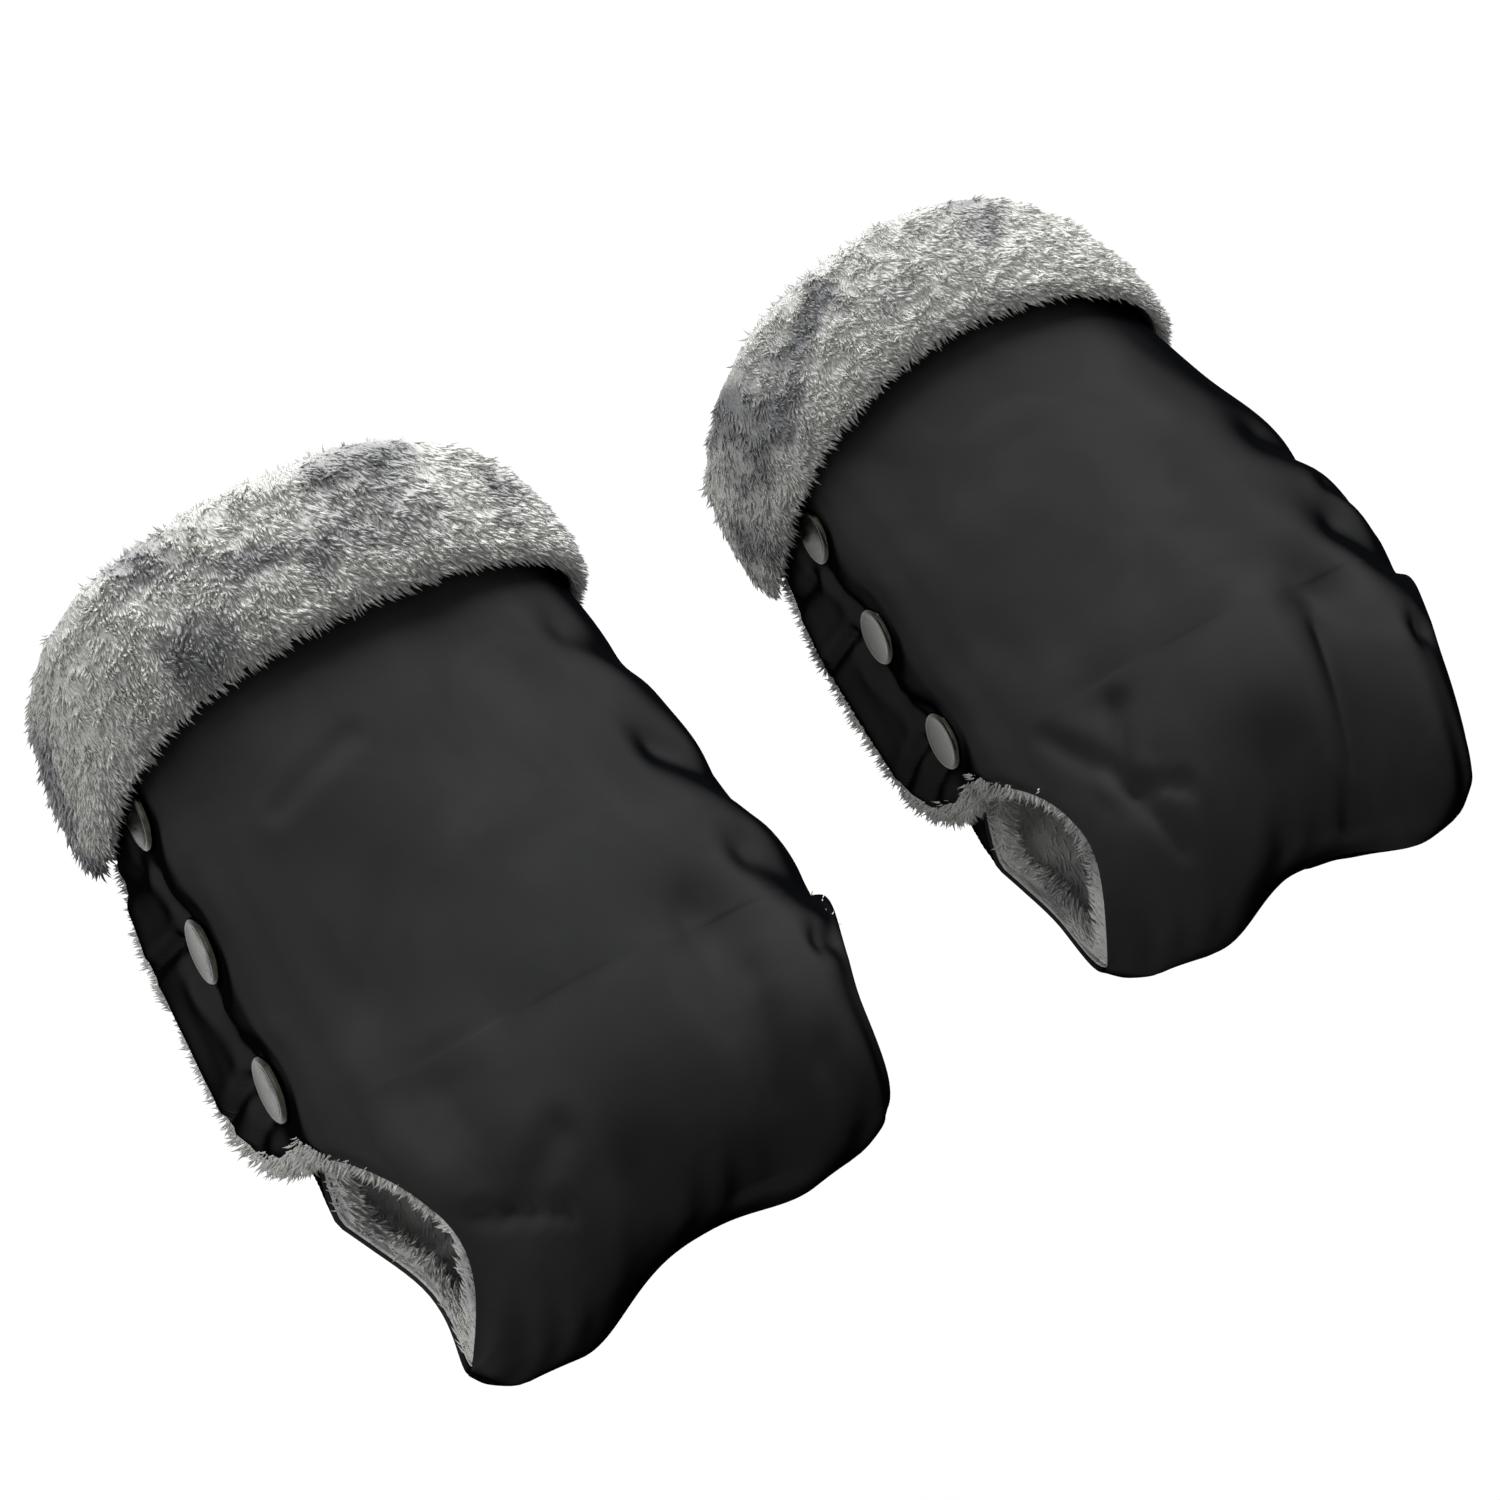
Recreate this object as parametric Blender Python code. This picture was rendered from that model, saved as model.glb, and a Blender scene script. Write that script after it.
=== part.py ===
"""A pair of padded hand muffs that button round a pram's handlebar.

Each muff is a padded tube, closed by a sewn seam at the bottom and open at the
top, where the wall is turned back as a plush cuff. The bar passes through two
side openings near the bottom. The left side opens along its length: a flap of
the front panel laps over the edge of the back panel and is held by three snaps.

Metres, +Z up. X runs along the bar, whose axis passes through the origin. A
muff is modelled in its own frame: x along the bar, y (its levels) towards the
mouth and z towards the front. A turn goes round it from the right side (0) over
the front to the left side (half a turn) and on round the back.
"""
import math

import bmesh
import bpy
from mathutils import Euler, Matrix, Vector

# Fabric layers, from the outside in
SHELL_THICKNESS = 0.0010
WADDING_THICKNESS = 0.0080
PLUSH_THICKNESS = 0.0040
LAYER_GAP = 0.0003

# The muff's outline, measured on the shell from the bar's axis
LEFT_REACH_AT_BAR = 0.0980
LEFT_REACH_AT_MOUTH = 0.0900
RIGHT_REACH_AT_BAR = 0.0850
RIGHT_REACH_AT_MOUTH = 0.0620
FRONT_RISE_AT_BAR = 0.0500
FRONT_RISE_AT_MOUTH = 0.0450
BACK_RISE_AT_BAR = 0.0460
BACK_RISE_AT_MOUTH = 0.0420
MOUTH_LEVEL = 0.1900

# The closed end below the bar
CLOSING_LEVEL = 0.0220
SEAM_LEVEL = -0.0380
SEAM_DIP_LEFT = 0.0170
SEAM_DIP_RIGHT = 0.0080
CORNER_RADIUS = 0.0340

# The bar and its two side openings
BAR_DIAMETER = 0.0320
BAR_CLEARANCE = 0.0220
OPENING_CENTRE_LEVEL = -0.0080
OPENING_ANGLE = math.radians(37.0)
PLUSH_FRINGE = 0.0040

# The turned-back cuff at the mouth
RIM_LEVEL_LEFT = 0.1900
RIM_LEVEL_FRONT = 0.2030
RIM_LEVEL_RIGHT = 0.1840
RIM_LEVEL_BACK = 0.1850
CUFF_LENGTH_LEFT = 0.0510
CUFF_LENGTH_FRONT = 0.0500
CUFF_LENGTH_RIGHT = 0.0360
CUFF_LENGTH_BACK = 0.0460
CUFF_FRINGE = 0.0020

# The flap on the left side and the edge that it laps over
FLAP_INSET_AT_BAR = 0.0065
FLAP_INSET_AT_MOUTH = 0.0060
FLAP_DROP = 0.0310
FLAP_CORNER_LENGTH = 0.0460
UNDERLAP_RISE = 0.0200
UNDERLAP_SLANT = 0.0150
HINGE_MARGIN = 0.0010

# Snap fasteners
SNAP_COUNT = 3
SNAP_LOWEST_LEVEL = 0.0480
SNAP_PITCH = 0.0430
SNAP_RISE = 0.0100
CAP_DIAMETER = 0.0200
CAP_HEIGHT = 0.0024
CAP_RIM_WIDTH = 0.0014
CAP_FACE_SINK = 0.0003
STEM_DIAMETER = 0.0040
STEM_CLEARANCE = 0.0003
STEM_ROLL = 0.0004
SOCKET_DIAMETER = 0.0150
SOCKET_WALL = 0.0022
SOCKET_FLOOR = 0.0008
SOCKET_PLAY = 0.0005
STUD_DIAMETER = 0.0130
STUD_BASE_THICKNESS = 0.0009
STUD_HEAD_DIAMETER = 0.0060
STUD_WALL = 0.0004
RIVET_DIAMETER = 0.0120
RIVET_THICKNESS = 0.0009

# How the pair hangs on the bar
PAIR_SPACING = 0.2458
TILT = math.radians(30.23)
RIGHT_SWING = math.radians(-7.75)
RIGHT_ROLL = math.radians(-8.94)
RIGHT_YAW = math.radians(-1.71)
RIGHT_SHIFT_BACK = 0.0025
RIGHT_SHIFT_UP = 0.0104

# The main folds of the front panel. A fold is a valley between two places, each
# given as a share of the left reach and a share of the mouth level, and a strength
FOLD_WIDTH = 0.0120
FOLD_DEPTH = 0.0052
FOLD_EDGE_SHARE = 0.16
LEFT_FOLD_SHARES = ((0.31, 0.16, 0.22, -0.18, 1.0), (0.80, 0.14, 0.57, 0.23, 0.6),
                    (0.73, 0.34, 0.51, 0.44, 0.5), (-0.67, -0.07, -0.61, 0.10, 0.6))
RIGHT_FOLD_SHARES = ((0.31, 0.12, 0.12, -0.19, 1.1), (0.84, 0.11, 0.57, 0.24, 0.7),
                     (0.76, 0.37, 0.55, 0.45, 0.5), (-0.65, -0.02, -0.55, 0.10, 0.8))

# Shares that shape the soft forms
SECTION_POWER = 0.88
CLOSING_POWER = 2.2
CLOSING_ROUNDNESS = 0.6
SEAM_DIP_SHARE = 0.70
LEFT_CORNER_SHARE = 0.70
THIN_SHARE = 0.10
TAPER_SHARE = 0.16
TAPER_ROW_COUNT = 3

# How finely the fabric and the metal are divided
LOWER_ROW_SHARES = (0.0, 0.2, 0.45, 0.75)
OPENING_ROW_SHARES = (0.0, 0.5, 0.87)
UPPER_ROW_SHARES = (0.0, 0.1, 0.24, 0.4, 0.7, 1.0)
FRONT_COLUMN_COUNT = 14
BACK_COLUMN_COUNT = 12
BACK_WADDING_SKIP_COUNT = 2
BACK_CUFF_SKIP_COUNT = 4
FLAP_ARC_SHARES = (0.0, 0.35, 0.7, 1.0)
FLAP_FACE_SHARES = (0.22, 0.42, 0.62, 0.82, 1.0)
ROLL_STEP_COUNT = 5
BACKING_STEP_COUNT = 3
CAP_STEP_COUNT = 18
HIDDEN_STEP_COUNT = 12

# Sizes that follow from those above, with depths measured inward from the shell
FLAP_DEPTH = SHELL_THICKNESS + LAYER_GAP + PLUSH_THICKNESS
LAP_DEPTH = FLAP_DEPTH + LAYER_GAP + STUD_BASE_THICKNESS + LAYER_GAP
CUFF_STANDOFF = CAP_HEIGHT + 2 * LAYER_GAP
CUFF_PROUD = CUFF_STANDOFF + FLAP_DEPTH
BACKING_RADIUS = CUFF_STANDOFF / 2 + SHELL_THICKNESS
OPENING_HALF_LENGTH = BAR_DIAMETER / 2 + BAR_CLEARANCE
OPENING_TOP = OPENING_CENTRE_LEVEL + OPENING_HALF_LENGTH
LOWEST_LEVEL = SEAM_LEVEL - SEAM_DIP_LEFT
HINGE_ANGLE = OPENING_ANGLE + LAYER_GAP / FRONT_RISE_AT_BAR
HALF_TURN = math.pi


def blend(start, end, share):
    """The value that lies a share of the way from start to end."""
    return start + (end - start) * share


def smooth_share(share):
    """A share from 0 to 1 that starts and ends gently."""
    share = min(max(share, 0.0), 1.0)
    return share * share * (3.0 - 2.0 * share)


def squared_off(value):
    """A sine or cosine, raised so that the section is a little squarer."""
    return math.copysign(abs(value) ** SECTION_POWER, value)


def angle_at_rise(rise, full_rise):
    """The angle from the side at which the section reaches a height."""
    return math.asin(min(rise / full_rise, 1.0) ** (1.0 / SECTION_POWER))


def seam_level(turn):
    """The bottom seam's level, which dips towards both corners."""
    across = math.cos(turn)
    dip = SEAM_DIP_LEFT if across < 0 else SEAM_DIP_RIGHT
    reach = min(abs(across) / SEAM_DIP_SHARE, 1.0)
    return SEAM_LEVEL - dip * (1.0 - math.cos(HALF_TURN * reach)) / 2


def round_the_mouth(turn, left, front, right, back):
    """A size that changes smoothly between four places round the mouth."""
    side = left if math.cos(turn) < 0 else right
    face = front if math.sin(turn) > 0 else back
    return blend(face, side, math.cos(turn) ** 2)


def rim_level(turn):
    """The level of the rim's top."""
    return round_the_mouth(turn, RIM_LEVEL_LEFT, RIM_LEVEL_FRONT,
                           RIM_LEVEL_RIGHT, RIM_LEVEL_BACK)


def hem_level(turn):
    """The level of the lower edge of the turned-back cuff."""
    length = round_the_mouth(turn, CUFF_LENGTH_LEFT, CUFF_LENGTH_FRONT,
                             CUFF_LENGTH_RIGHT, CUFF_LENGTH_BACK)
    return rim_level(turn) - length


def flap_face(level):
    """How far left of the middle the flat face that holds the snaps lies."""
    at_bar = LEFT_REACH_AT_BAR - FLAP_INSET_AT_BAR
    at_mouth = LEFT_REACH_AT_MOUTH - FLAP_INSET_AT_MOUTH
    return blend(at_bar, at_mouth, level / MOUTH_LEVEL)


def lap_step(level):
    """How far the back panel steps in to pass under the flap."""
    above = (level - LOWEST_LEVEL) / (OPENING_TOP - LOWEST_LEVEL)
    return LAP_DEPTH * smooth_share(above)


def no_step(level):
    """The front panel and the flap lie on the outside, with no step."""
    return 0.0


def closing(level):
    """How far a row lies below the closing level, as a share up to the seam."""
    below = (CLOSING_LEVEL - level) / (CLOSING_LEVEL - LOWEST_LEVEL)
    return min(max(below, 0.0), 1.0)


def room_above_seam(turn, level, depth):
    """How far a row lies above the seam of its layer."""
    return (1.0 - closing(level)) * (CLOSING_LEVEL - seam_level(turn) - depth)


def section_width(turn, level, depth):
    """How far a section reaches from the middle to the side of this turn."""
    along = max(level, 0.0) / MOUTH_LEVEL
    if math.cos(turn) < 0:
        width = blend(LEFT_REACH_AT_BAR, LEFT_REACH_AT_MOUTH, along)
        corner_share = LEFT_CORNER_SHARE
    else:
        width = blend(RIGHT_REACH_AT_BAR, RIGHT_REACH_AT_MOUTH, along)
        corner_share = 1.0
    room = room_above_seam(turn, level, depth)
    if room < CORNER_RADIUS:
        inset = 1.0 - room / CORNER_RADIUS
        width -= corner_share * CORNER_RADIUS * (1.0 - math.sqrt(1.0 - inset * inset))
    return width - depth


def section_rise(turn, level, depth):
    """How far a section rises from the middle to the front or back."""
    along = max(level, 0.0) / MOUTH_LEVEL
    if math.sin(turn) > 0:
        rise = blend(FRONT_RISE_AT_BAR, FRONT_RISE_AT_MOUTH, along)
    else:
        rise = blend(BACK_RISE_AT_BAR, BACK_RISE_AT_MOUTH, along)
    return (rise - depth) * (1.0 - closing(level) ** CLOSING_POWER) ** CLOSING_ROUNDNESS


def muff_point(turn, level, depth, step, lift):
    """A point of the muff's wall; lift parts the front and back at the seams."""
    across = section_width(turn, level, depth) * squared_off(math.cos(turn))
    across = max(across, depth + step(level) - flap_face(level))
    rise = section_rise(turn, level, depth) * squared_off(math.sin(turn)) + lift
    true_level = max(level, CLOSING_LEVEL)
    if level < CLOSING_LEVEL:
        drop = CLOSING_LEVEL - seam_level(turn) - depth
        true_level = CLOSING_LEVEL - closing(level) * drop
    return Vector((across, true_level, rise))


def opening_angle(level, fringe):
    """Half the angle that a bar opening takes at a level, less the fringe."""
    place = (level - OPENING_CENTRE_LEVEL) / (OPENING_HALF_LENGTH - fringe)
    if abs(place) >= 1.0:
        return 0.0
    widest = OPENING_ANGLE * (1.0 - fringe / FRONT_RISE_AT_BAR)
    return widest * math.sqrt(1.0 - place * place)


def front_turn(share, level, fringe=0.0):
    """The front panel's turns, from its right edge to the flap's hinge."""
    right = opening_angle(level, fringe)
    left = HINGE_ANGLE
    if level < OPENING_CENTRE_LEVEL:
        left = opening_angle(level, fringe)
    return blend(right, HALF_TURN - left, share)


def back_turn(share, level, fringe=0.0):
    """The back panel's turns, from the edge under the flap to its right edge."""
    opened = opening_angle(level, fringe)
    lapped = angle_at_rise(UNDERLAP_RISE, FRONT_RISE_AT_BAR)
    lapped *= smooth_share((level - OPENING_TOP) / UNDERLAP_SLANT)
    return blend(HALF_TURN + opened - lapped, 2 * HALF_TURN - opened, share)


def pad_thickness(share, row):
    """Wadding thickness, full in the middle and thin along edges and seams."""
    to_edge = max(min(share, 1.0 - share), 0.0)
    across = blend(THIN_SHARE, 1.0, smooth_share(to_edge / TAPER_SHARE))
    along = blend(THIN_SHARE, 1.0, smooth_share(row / TAPER_ROW_COUNT))
    return WADDING_THICKNESS * across * along


def lining_depth(pad):
    """Depth of the lining's outer face, over a given thickness of wadding."""
    return SHELL_THICKNESS + LAYER_GAP + pad + LAYER_GAP


def roll_radius(pad):
    """Outer radius of the roll in which the plush turns over the rim."""
    return (lining_depth(pad) + PLUSH_THICKNESS + CUFF_PROUD) / 2


FLAP_ROLL_RADIUS = (FLAP_DEPTH + CUFF_PROUD) / 2


def layer_faces(layer, pad):
    """Depths of a layer's outer and inner face."""
    if layer == "shell":
        return 0.0, SHELL_THICKNESS
    if layer == "wadding":
        return SHELL_THICKNESS + LAYER_GAP, SHELL_THICKNESS + LAYER_GAP + pad
    return lining_depth(pad), lining_depth(pad) + PLUSH_THICKNESS


def layer_top(layer, turn, radius):
    """Level where a layer ends, below the roll of the cuff."""
    roll_start = rim_level(turn) - radius - LAYER_GAP
    if layer == "lining":
        return roll_start
    return roll_start - BACKING_RADIUS


def row_levels(top):
    """Levels of the rows of points from the bottom seam to a layer's top."""
    levels = [blend(LOWEST_LEVEL, OPENING_CENTRE_LEVEL, share) for share in LOWER_ROW_SHARES]
    levels += [blend(OPENING_CENTRE_LEVEL, OPENING_TOP, share) for share in OPENING_ROW_SHARES]
    levels += [blend(OPENING_TOP, top, share) for share in UPPER_ROW_SHARES]
    return levels


def fold_place(across_share, level_share):
    """A fold's end, across the muff and along it."""
    return Vector((across_share * LEFT_REACH_AT_BAR, level_share * MOUTH_LEVEL))


def fold_sink(place, folds):
    """How deep the folds are at a place across the muff and along it."""
    sink = 0.0
    for start_across, start_level, end_across, end_level, strength in folds:
        start = fold_place(start_across, start_level)
        run = fold_place(end_across, end_level) - start
        along = min(max((place - start).dot(run) / run.length_squared, 0.0), 1.0)
        away = (place - start - run * along).length / FOLD_WIDTH
        sink += strength * FOLD_DEPTH * math.exp(-away * away)
    return sink


def fold_shift(panel, share, level):
    """How the folds move a stack of layers, straight in from the shell."""
    turn = panel["turn"](share, level)
    on_shell = muff_point(turn, level, 0.0, panel["step"], panel["lift"])
    hold = smooth_share(min(share, 1.0 - share) / FOLD_EDGE_SHARE)
    outward = Vector((math.cos(turn) * FRONT_RISE_AT_BAR, 0.0,
                      math.sin(turn) * LEFT_REACH_AT_BAR)).normalized()
    return outward * -hold * fold_sink(Vector((on_shell.x, on_shell.y)), panel["folds"])


def panel_layer(panel, layer):
    """Outlines of one layer of the front or back panel, column by column."""
    outlines = []
    columns = panel["columns"]
    first = panel["wadding_start"] if layer == "wadding" else 0
    for column in range(first, columns + 1):
        share = column / columns
        padded_share = (column - panel["wadding_start"]) / (columns - panel["wadding_start"])
        fringe = PLUSH_FRINGE if layer == "lining" and column in (0, columns) else 0.0
        radius = roll_radius(pad_thickness(padded_share, TAPER_ROW_COUNT))
        mouth_turn = panel["turn"](share, MOUTH_LEVEL)
        levels = row_levels(layer_top(layer, mouth_turn, radius))
        shell_levels = row_levels(layer_top("shell", mouth_turn, radius))
        outer_face = []
        inner_face = []
        for row, (level, shell_level) in enumerate(zip(levels, shell_levels)):
            turn = panel["turn"](share, level, fringe)
            shift = fold_shift(panel, share, shell_level) if row > 0 else Vector()
            for face, depth in zip((outer_face, inner_face),
                                   layer_faces(layer, pad_thickness(padded_share, row))):
                face.append(muff_point(turn, level, depth, panel["step"], panel["lift"]) + shift)
        outlines.append(outer_face + inner_face[::-1])
    return outlines


def arc_path(base_level, centre_depth, radius, steps):
    """Levels and depths along a half circle, from the inside over to the outside."""
    path = []
    for index in range(steps + 1):
        angle = HALF_TURN * index / steps
        path.append((base_level + radius * math.sin(angle),
                     centre_depth + radius * math.cos(angle)))
    return path


def cuff_path(turn, radius, inner_depth):
    """The turned-back plush: over the rim in a roll, then down to its hem."""
    base = rim_level(turn) - radius
    hem = hem_level(turn)
    centre = inner_depth - radius
    outside = arc_path(base, centre, radius, ROLL_STEP_COUNT)
    outside += [(blend(base, hem, 0.5), -CUFF_PROUD), (hem, -CUFF_PROUD)]
    face = PLUSH_THICKNESS - CUFF_PROUD
    inside = arc_path(base, centre, radius - PLUSH_THICKNESS, ROLL_STEP_COUNT)
    inside += [(blend(base, hem, 0.5), face), (hem, face)]
    return outside + inside[::-1]


def backing_path(turn, radius, inner_depth):
    """The turned-back end of the shell, which carries the cuff from behind."""
    base = rim_level(turn) - radius - BACKING_RADIUS
    hem = hem_level(turn) + CUFF_FRINGE
    centre = SHELL_THICKNESS - BACKING_RADIUS
    outside = arc_path(base, centre, BACKING_RADIUS, BACKING_STEP_COUNT)
    outside += [(hem, -CUFF_STANDOFF - SHELL_THICKNESS)]
    inside = arc_path(base, centre, BACKING_RADIUS - SHELL_THICKNESS, BACKING_STEP_COUNT)
    inside += [(hem, -CUFF_STANDOFF)]
    return outside + inside[::-1]


def panel_cuff(panel, path_at):
    """Outlines of a cuff layer along the front or back panel."""
    outlines = []
    columns = panel["columns"]
    for column in range(panel["cuff_start"], columns + 1):
        padded_share = (column - panel["wadding_start"]) / (columns - panel["wadding_start"])
        turn = panel["turn"](column / columns, MOUTH_LEVEL)
        pad = pad_thickness(padded_share, TAPER_ROW_COUNT)
        inner_depth = lining_depth(pad) + PLUSH_THICKNESS
        path = path_at(turn, roll_radius(pad), inner_depth)
        outlines.append([muff_point(turn, level, depth, panel["step"], panel["lift"])
                         for level, depth in path])
    return outlines


def flap_stations():
    """Places across the flap: first round the shoulder, then down its flat face."""
    stations = [("arc", share) for share in FLAP_ARC_SHARES]
    stations += [("face", share) for share in FLAP_FACE_SHARES]
    return stations


def crease_angle(level):
    """The angle from the side at which the shoulder meets the flat face."""
    reach = flap_face(level) / section_width(HALF_TURN, level, 0.0)
    return math.acos(min(reach, 1.0) ** (1.0 / SECTION_POWER))


def crease_rise(level):
    """The height at which the shoulder meets the flat face."""
    angle = HALF_TURN - crease_angle(level)
    return section_rise(angle, level, 0.0) * squared_off(math.sin(angle))


def flap_point(station, level, depth, fringe):
    """A point of the flap at a station, level and depth."""
    kind, share = station
    if kind == "arc":
        angle = blend(OPENING_ANGLE, crease_angle(level), share)
        return muff_point(HALF_TURN - angle, level, depth, no_step, LAYER_GAP / 2)
    rise = blend(crease_rise(level), -(FLAP_DROP + fringe), share)
    return Vector((depth - flap_face(level), level, rise))


def flap_bottom(station, fringe):
    """The level of the flap's lower edge, which bounds the bar opening."""
    kind, share = station
    half_length = OPENING_HALF_LENGTH - fringe
    widest = OPENING_ANGLE * (1.0 - fringe / FRONT_RISE_AT_BAR)
    if kind == "arc":
        angle = blend(OPENING_ANGLE, crease_angle(OPENING_TOP), share)
    else:
        drop = FLAP_DROP + fringe
        rise = blend(crease_rise(OPENING_TOP), -drop, share)
        if rise <= 0.0:
            corner = 1.0 - math.sqrt(max(1.0 - (rise / drop) ** 2, 0.0))
            return OPENING_TOP - fringe + FLAP_CORNER_LENGTH * corner
        angle = angle_at_rise(rise, FRONT_RISE_AT_BAR)
    place = min(angle / widest, 1.0)
    return OPENING_CENTRE_LEVEL + half_length * math.sqrt(1.0 - place * place)


def station_turn(station):
    """The turn at which a station's rim and hem are read."""
    kind, share = station
    if kind == "arc":
        return HALF_TURN - blend(OPENING_ANGLE, crease_angle(MOUTH_LEVEL), share)
    return HALF_TURN


def flap_layer(layer):
    """Outlines of the flap's shell or lining, station by station."""
    outlines = []
    fringe = PLUSH_FRINGE if layer == "lining" else 0.0
    outer, inner = 0.0, SHELL_THICKNESS
    if layer == "lining":
        outer, inner = SHELL_THICKNESS + LAYER_GAP, FLAP_DEPTH
    for station in flap_stations():
        top = layer_top(layer, station_turn(station), FLAP_ROLL_RADIUS)
        bottom = flap_bottom(station, 0.0)
        rows = row_levels(top)[len(LOWER_ROW_SHARES):]
        levels = [blend(bottom, top, (row - rows[0]) / (top - rows[0])) for row in rows]
        levels[0] = flap_bottom(station, fringe)
        outer_face = [flap_point(station, level, outer, fringe) for level in levels]
        inner_face = [flap_point(station, level, inner, fringe) for level in levels]
        outlines.append(outer_face + inner_face[::-1])
    return outlines


def flap_cuff(path_at, fringe):
    """Outlines of a cuff layer along the flap."""
    outlines = []
    for station in flap_stations():
        path = path_at(station_turn(station), FLAP_ROLL_RADIUS, FLAP_DEPTH)
        outlines.append([flap_point(station, level, depth, fringe) for level, depth in path])
    return outlines


def make_material(name, colour, roughness, metallic=0.0, sheen=0.0):
    """A Principled material with one plain finish."""
    material = bpy.data.materials.new(name)
    material.use_nodes = True
    shader = material.node_tree.nodes["Principled BSDF"]
    shader.inputs["Base Color"].default_value = (*colour, 1.0)
    shader.inputs["Roughness"].default_value = roughness
    shader.inputs["Metallic"].default_value = metallic
    shader.inputs["Sheen Weight"].default_value = sheen
    return material


def place_piece(name, builder, material, parent):
    """Turn a finished bmesh in the muff's frame into a named, parented object."""
    bmesh.ops.recalc_face_normals(builder, faces=builder.faces)
    mesh = bpy.data.meshes.new(name)
    builder.to_mesh(mesh)
    builder.free()
    mesh.transform(parent.matrix_basis.inverted() if parent.parent else Matrix())
    mesh.shade_smooth()
    mesh.set_sharp_from_angle(angle=math.radians(40.0))
    mesh.materials.append(material)
    piece = bpy.data.objects.new(name, mesh)
    bpy.context.scene.collection.objects.link(piece)
    piece.parent = parent
    return piece


def sewn_piece(name, outlines, material, parent):
    """A closed solid stitched through a row of outlines that match each other.

    Each outline runs up the outer face and down the inner one, and the two faces
    are split along the same diagonals, so that nested layers stay clear. The last
    strip is split the other way, which keeps a panel's second corner from folding.
    """
    builder = bmesh.new()
    rings = [[builder.verts.new(point) for point in outline] for outline in outlines]
    count = len(outlines[0])
    for ring, following in zip(rings, rings[1:]):
        last_strip = following is rings[-1]
        for index in range(count):
            after = (index + 1) % count
            near, far = (ring[index], ring[after]), (following[index], following[after])
            if (index < count // 2) != last_strip:
                builder.faces.new((near[0], near[1], far[1]))
                builder.faces.new((near[0], far[1], far[0]))
            else:
                builder.faces.new((near[0], near[1], far[0]))
                builder.faces.new((near[1], far[1], far[0]))
    for ring in (rings[0], rings[-1]):
        for index in range(count // 2 - 1):
            opposite = count - 1 - index
            builder.faces.new((ring[index], ring[index + 1], ring[opposite - 1]))
            builder.faces.new((ring[index], ring[opposite - 1], ring[opposite]))
    return place_piece(name, builder, material, parent)


def snap_frame(index):
    """The place of a snap: on the flap's flat face, with its axis facing out."""
    level = SNAP_LOWEST_LEVEL + index * SNAP_PITCH
    lean = (flap_face(0.0) - flap_face(MOUTH_LEVEL)) / MOUTH_LEVEL
    outward = Vector((-1.0, lean, 0.0)).normalized()
    front = Vector((0.0, 0.0, 1.0))
    along = front.cross(outward)
    turned = Matrix((front, along, outward)).transposed().to_4x4()
    return Matrix.Translation((-flap_face(level), level, SNAP_RISE)) @ turned


def turned_piece(name, profile, frame, steps, material, parent):
    """A round piece, made by spinning a profile of radius and height points."""
    builder = bmesh.new()
    line = [builder.verts.new((radius, 0.0, height)) for radius, height in profile]
    edges = [builder.edges.new(pair) for pair in zip(line, line[1:])]
    if profile[0][0] > 0.0:
        edges.append(builder.edges.new((line[-1], line[0])))
    bmesh.ops.spin(builder, geom=line + edges, axis=(0.0, 0.0, 1.0), cent=(0.0, 0.0, 0.0),
                   angle=2 * HALF_TURN, steps=steps, use_merge=True)
    bmesh.ops.remove_doubles(builder, verts=builder.verts, dist=LAYER_GAP / 100)
    bmesh.ops.transform(builder, matrix=frame, verts=builder.verts)
    return place_piece(name, builder, material, parent)


def cap_profile():
    """The cap: a dished face inside a rounded rim, and a stem with a rolled end."""
    radius = CAP_DIAMETER / 2
    face = CAP_HEIGHT - CAP_FACE_SINK
    stem = STEM_DIAMETER / 2
    floor = SHELL_THICKNESS + LAYER_GAP + SOCKET_FLOOR + LAYER_GAP
    return [(0.0, face), (radius - 2 * CAP_RIM_WIDTH, face),
            (radius - CAP_RIM_WIDTH, CAP_HEIGHT), (radius - CAP_RIM_WIDTH / 2, CAP_HEIGHT),
            (radius, CAP_HEIGHT - CAP_RIM_WIDTH / 2), (radius, CAP_RIM_WIDTH / 2),
            (radius - CAP_RIM_WIDTH / 2, LAYER_GAP), (stem, LAYER_GAP), (stem, -floor),
            (stem + 2 * STEM_ROLL, -floor), (stem + STEM_ROLL, -floor - STEM_ROLL),
            (0.0, -floor - STEM_ROLL)]


def socket_profile():
    """The socket: a flanged ring under the shell with a bore for the stud."""
    outer = SOCKET_DIAMETER / 2
    hole = STEM_DIAMETER / 2 + STEM_CLEARANCE
    bore = outer - SOCKET_WALL - SOCKET_FLOOR
    top = -(SHELL_THICKNESS + LAYER_GAP)
    floor = top - SOCKET_FLOOR
    end = -(FLAP_DEPTH - LAYER_GAP)
    return [(hole, top), (outer, top), (outer, floor), (outer - SOCKET_FLOOR, floor),
            (outer - SOCKET_FLOOR, end), (bore, end), (bore, floor), (hole, floor)]


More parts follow.
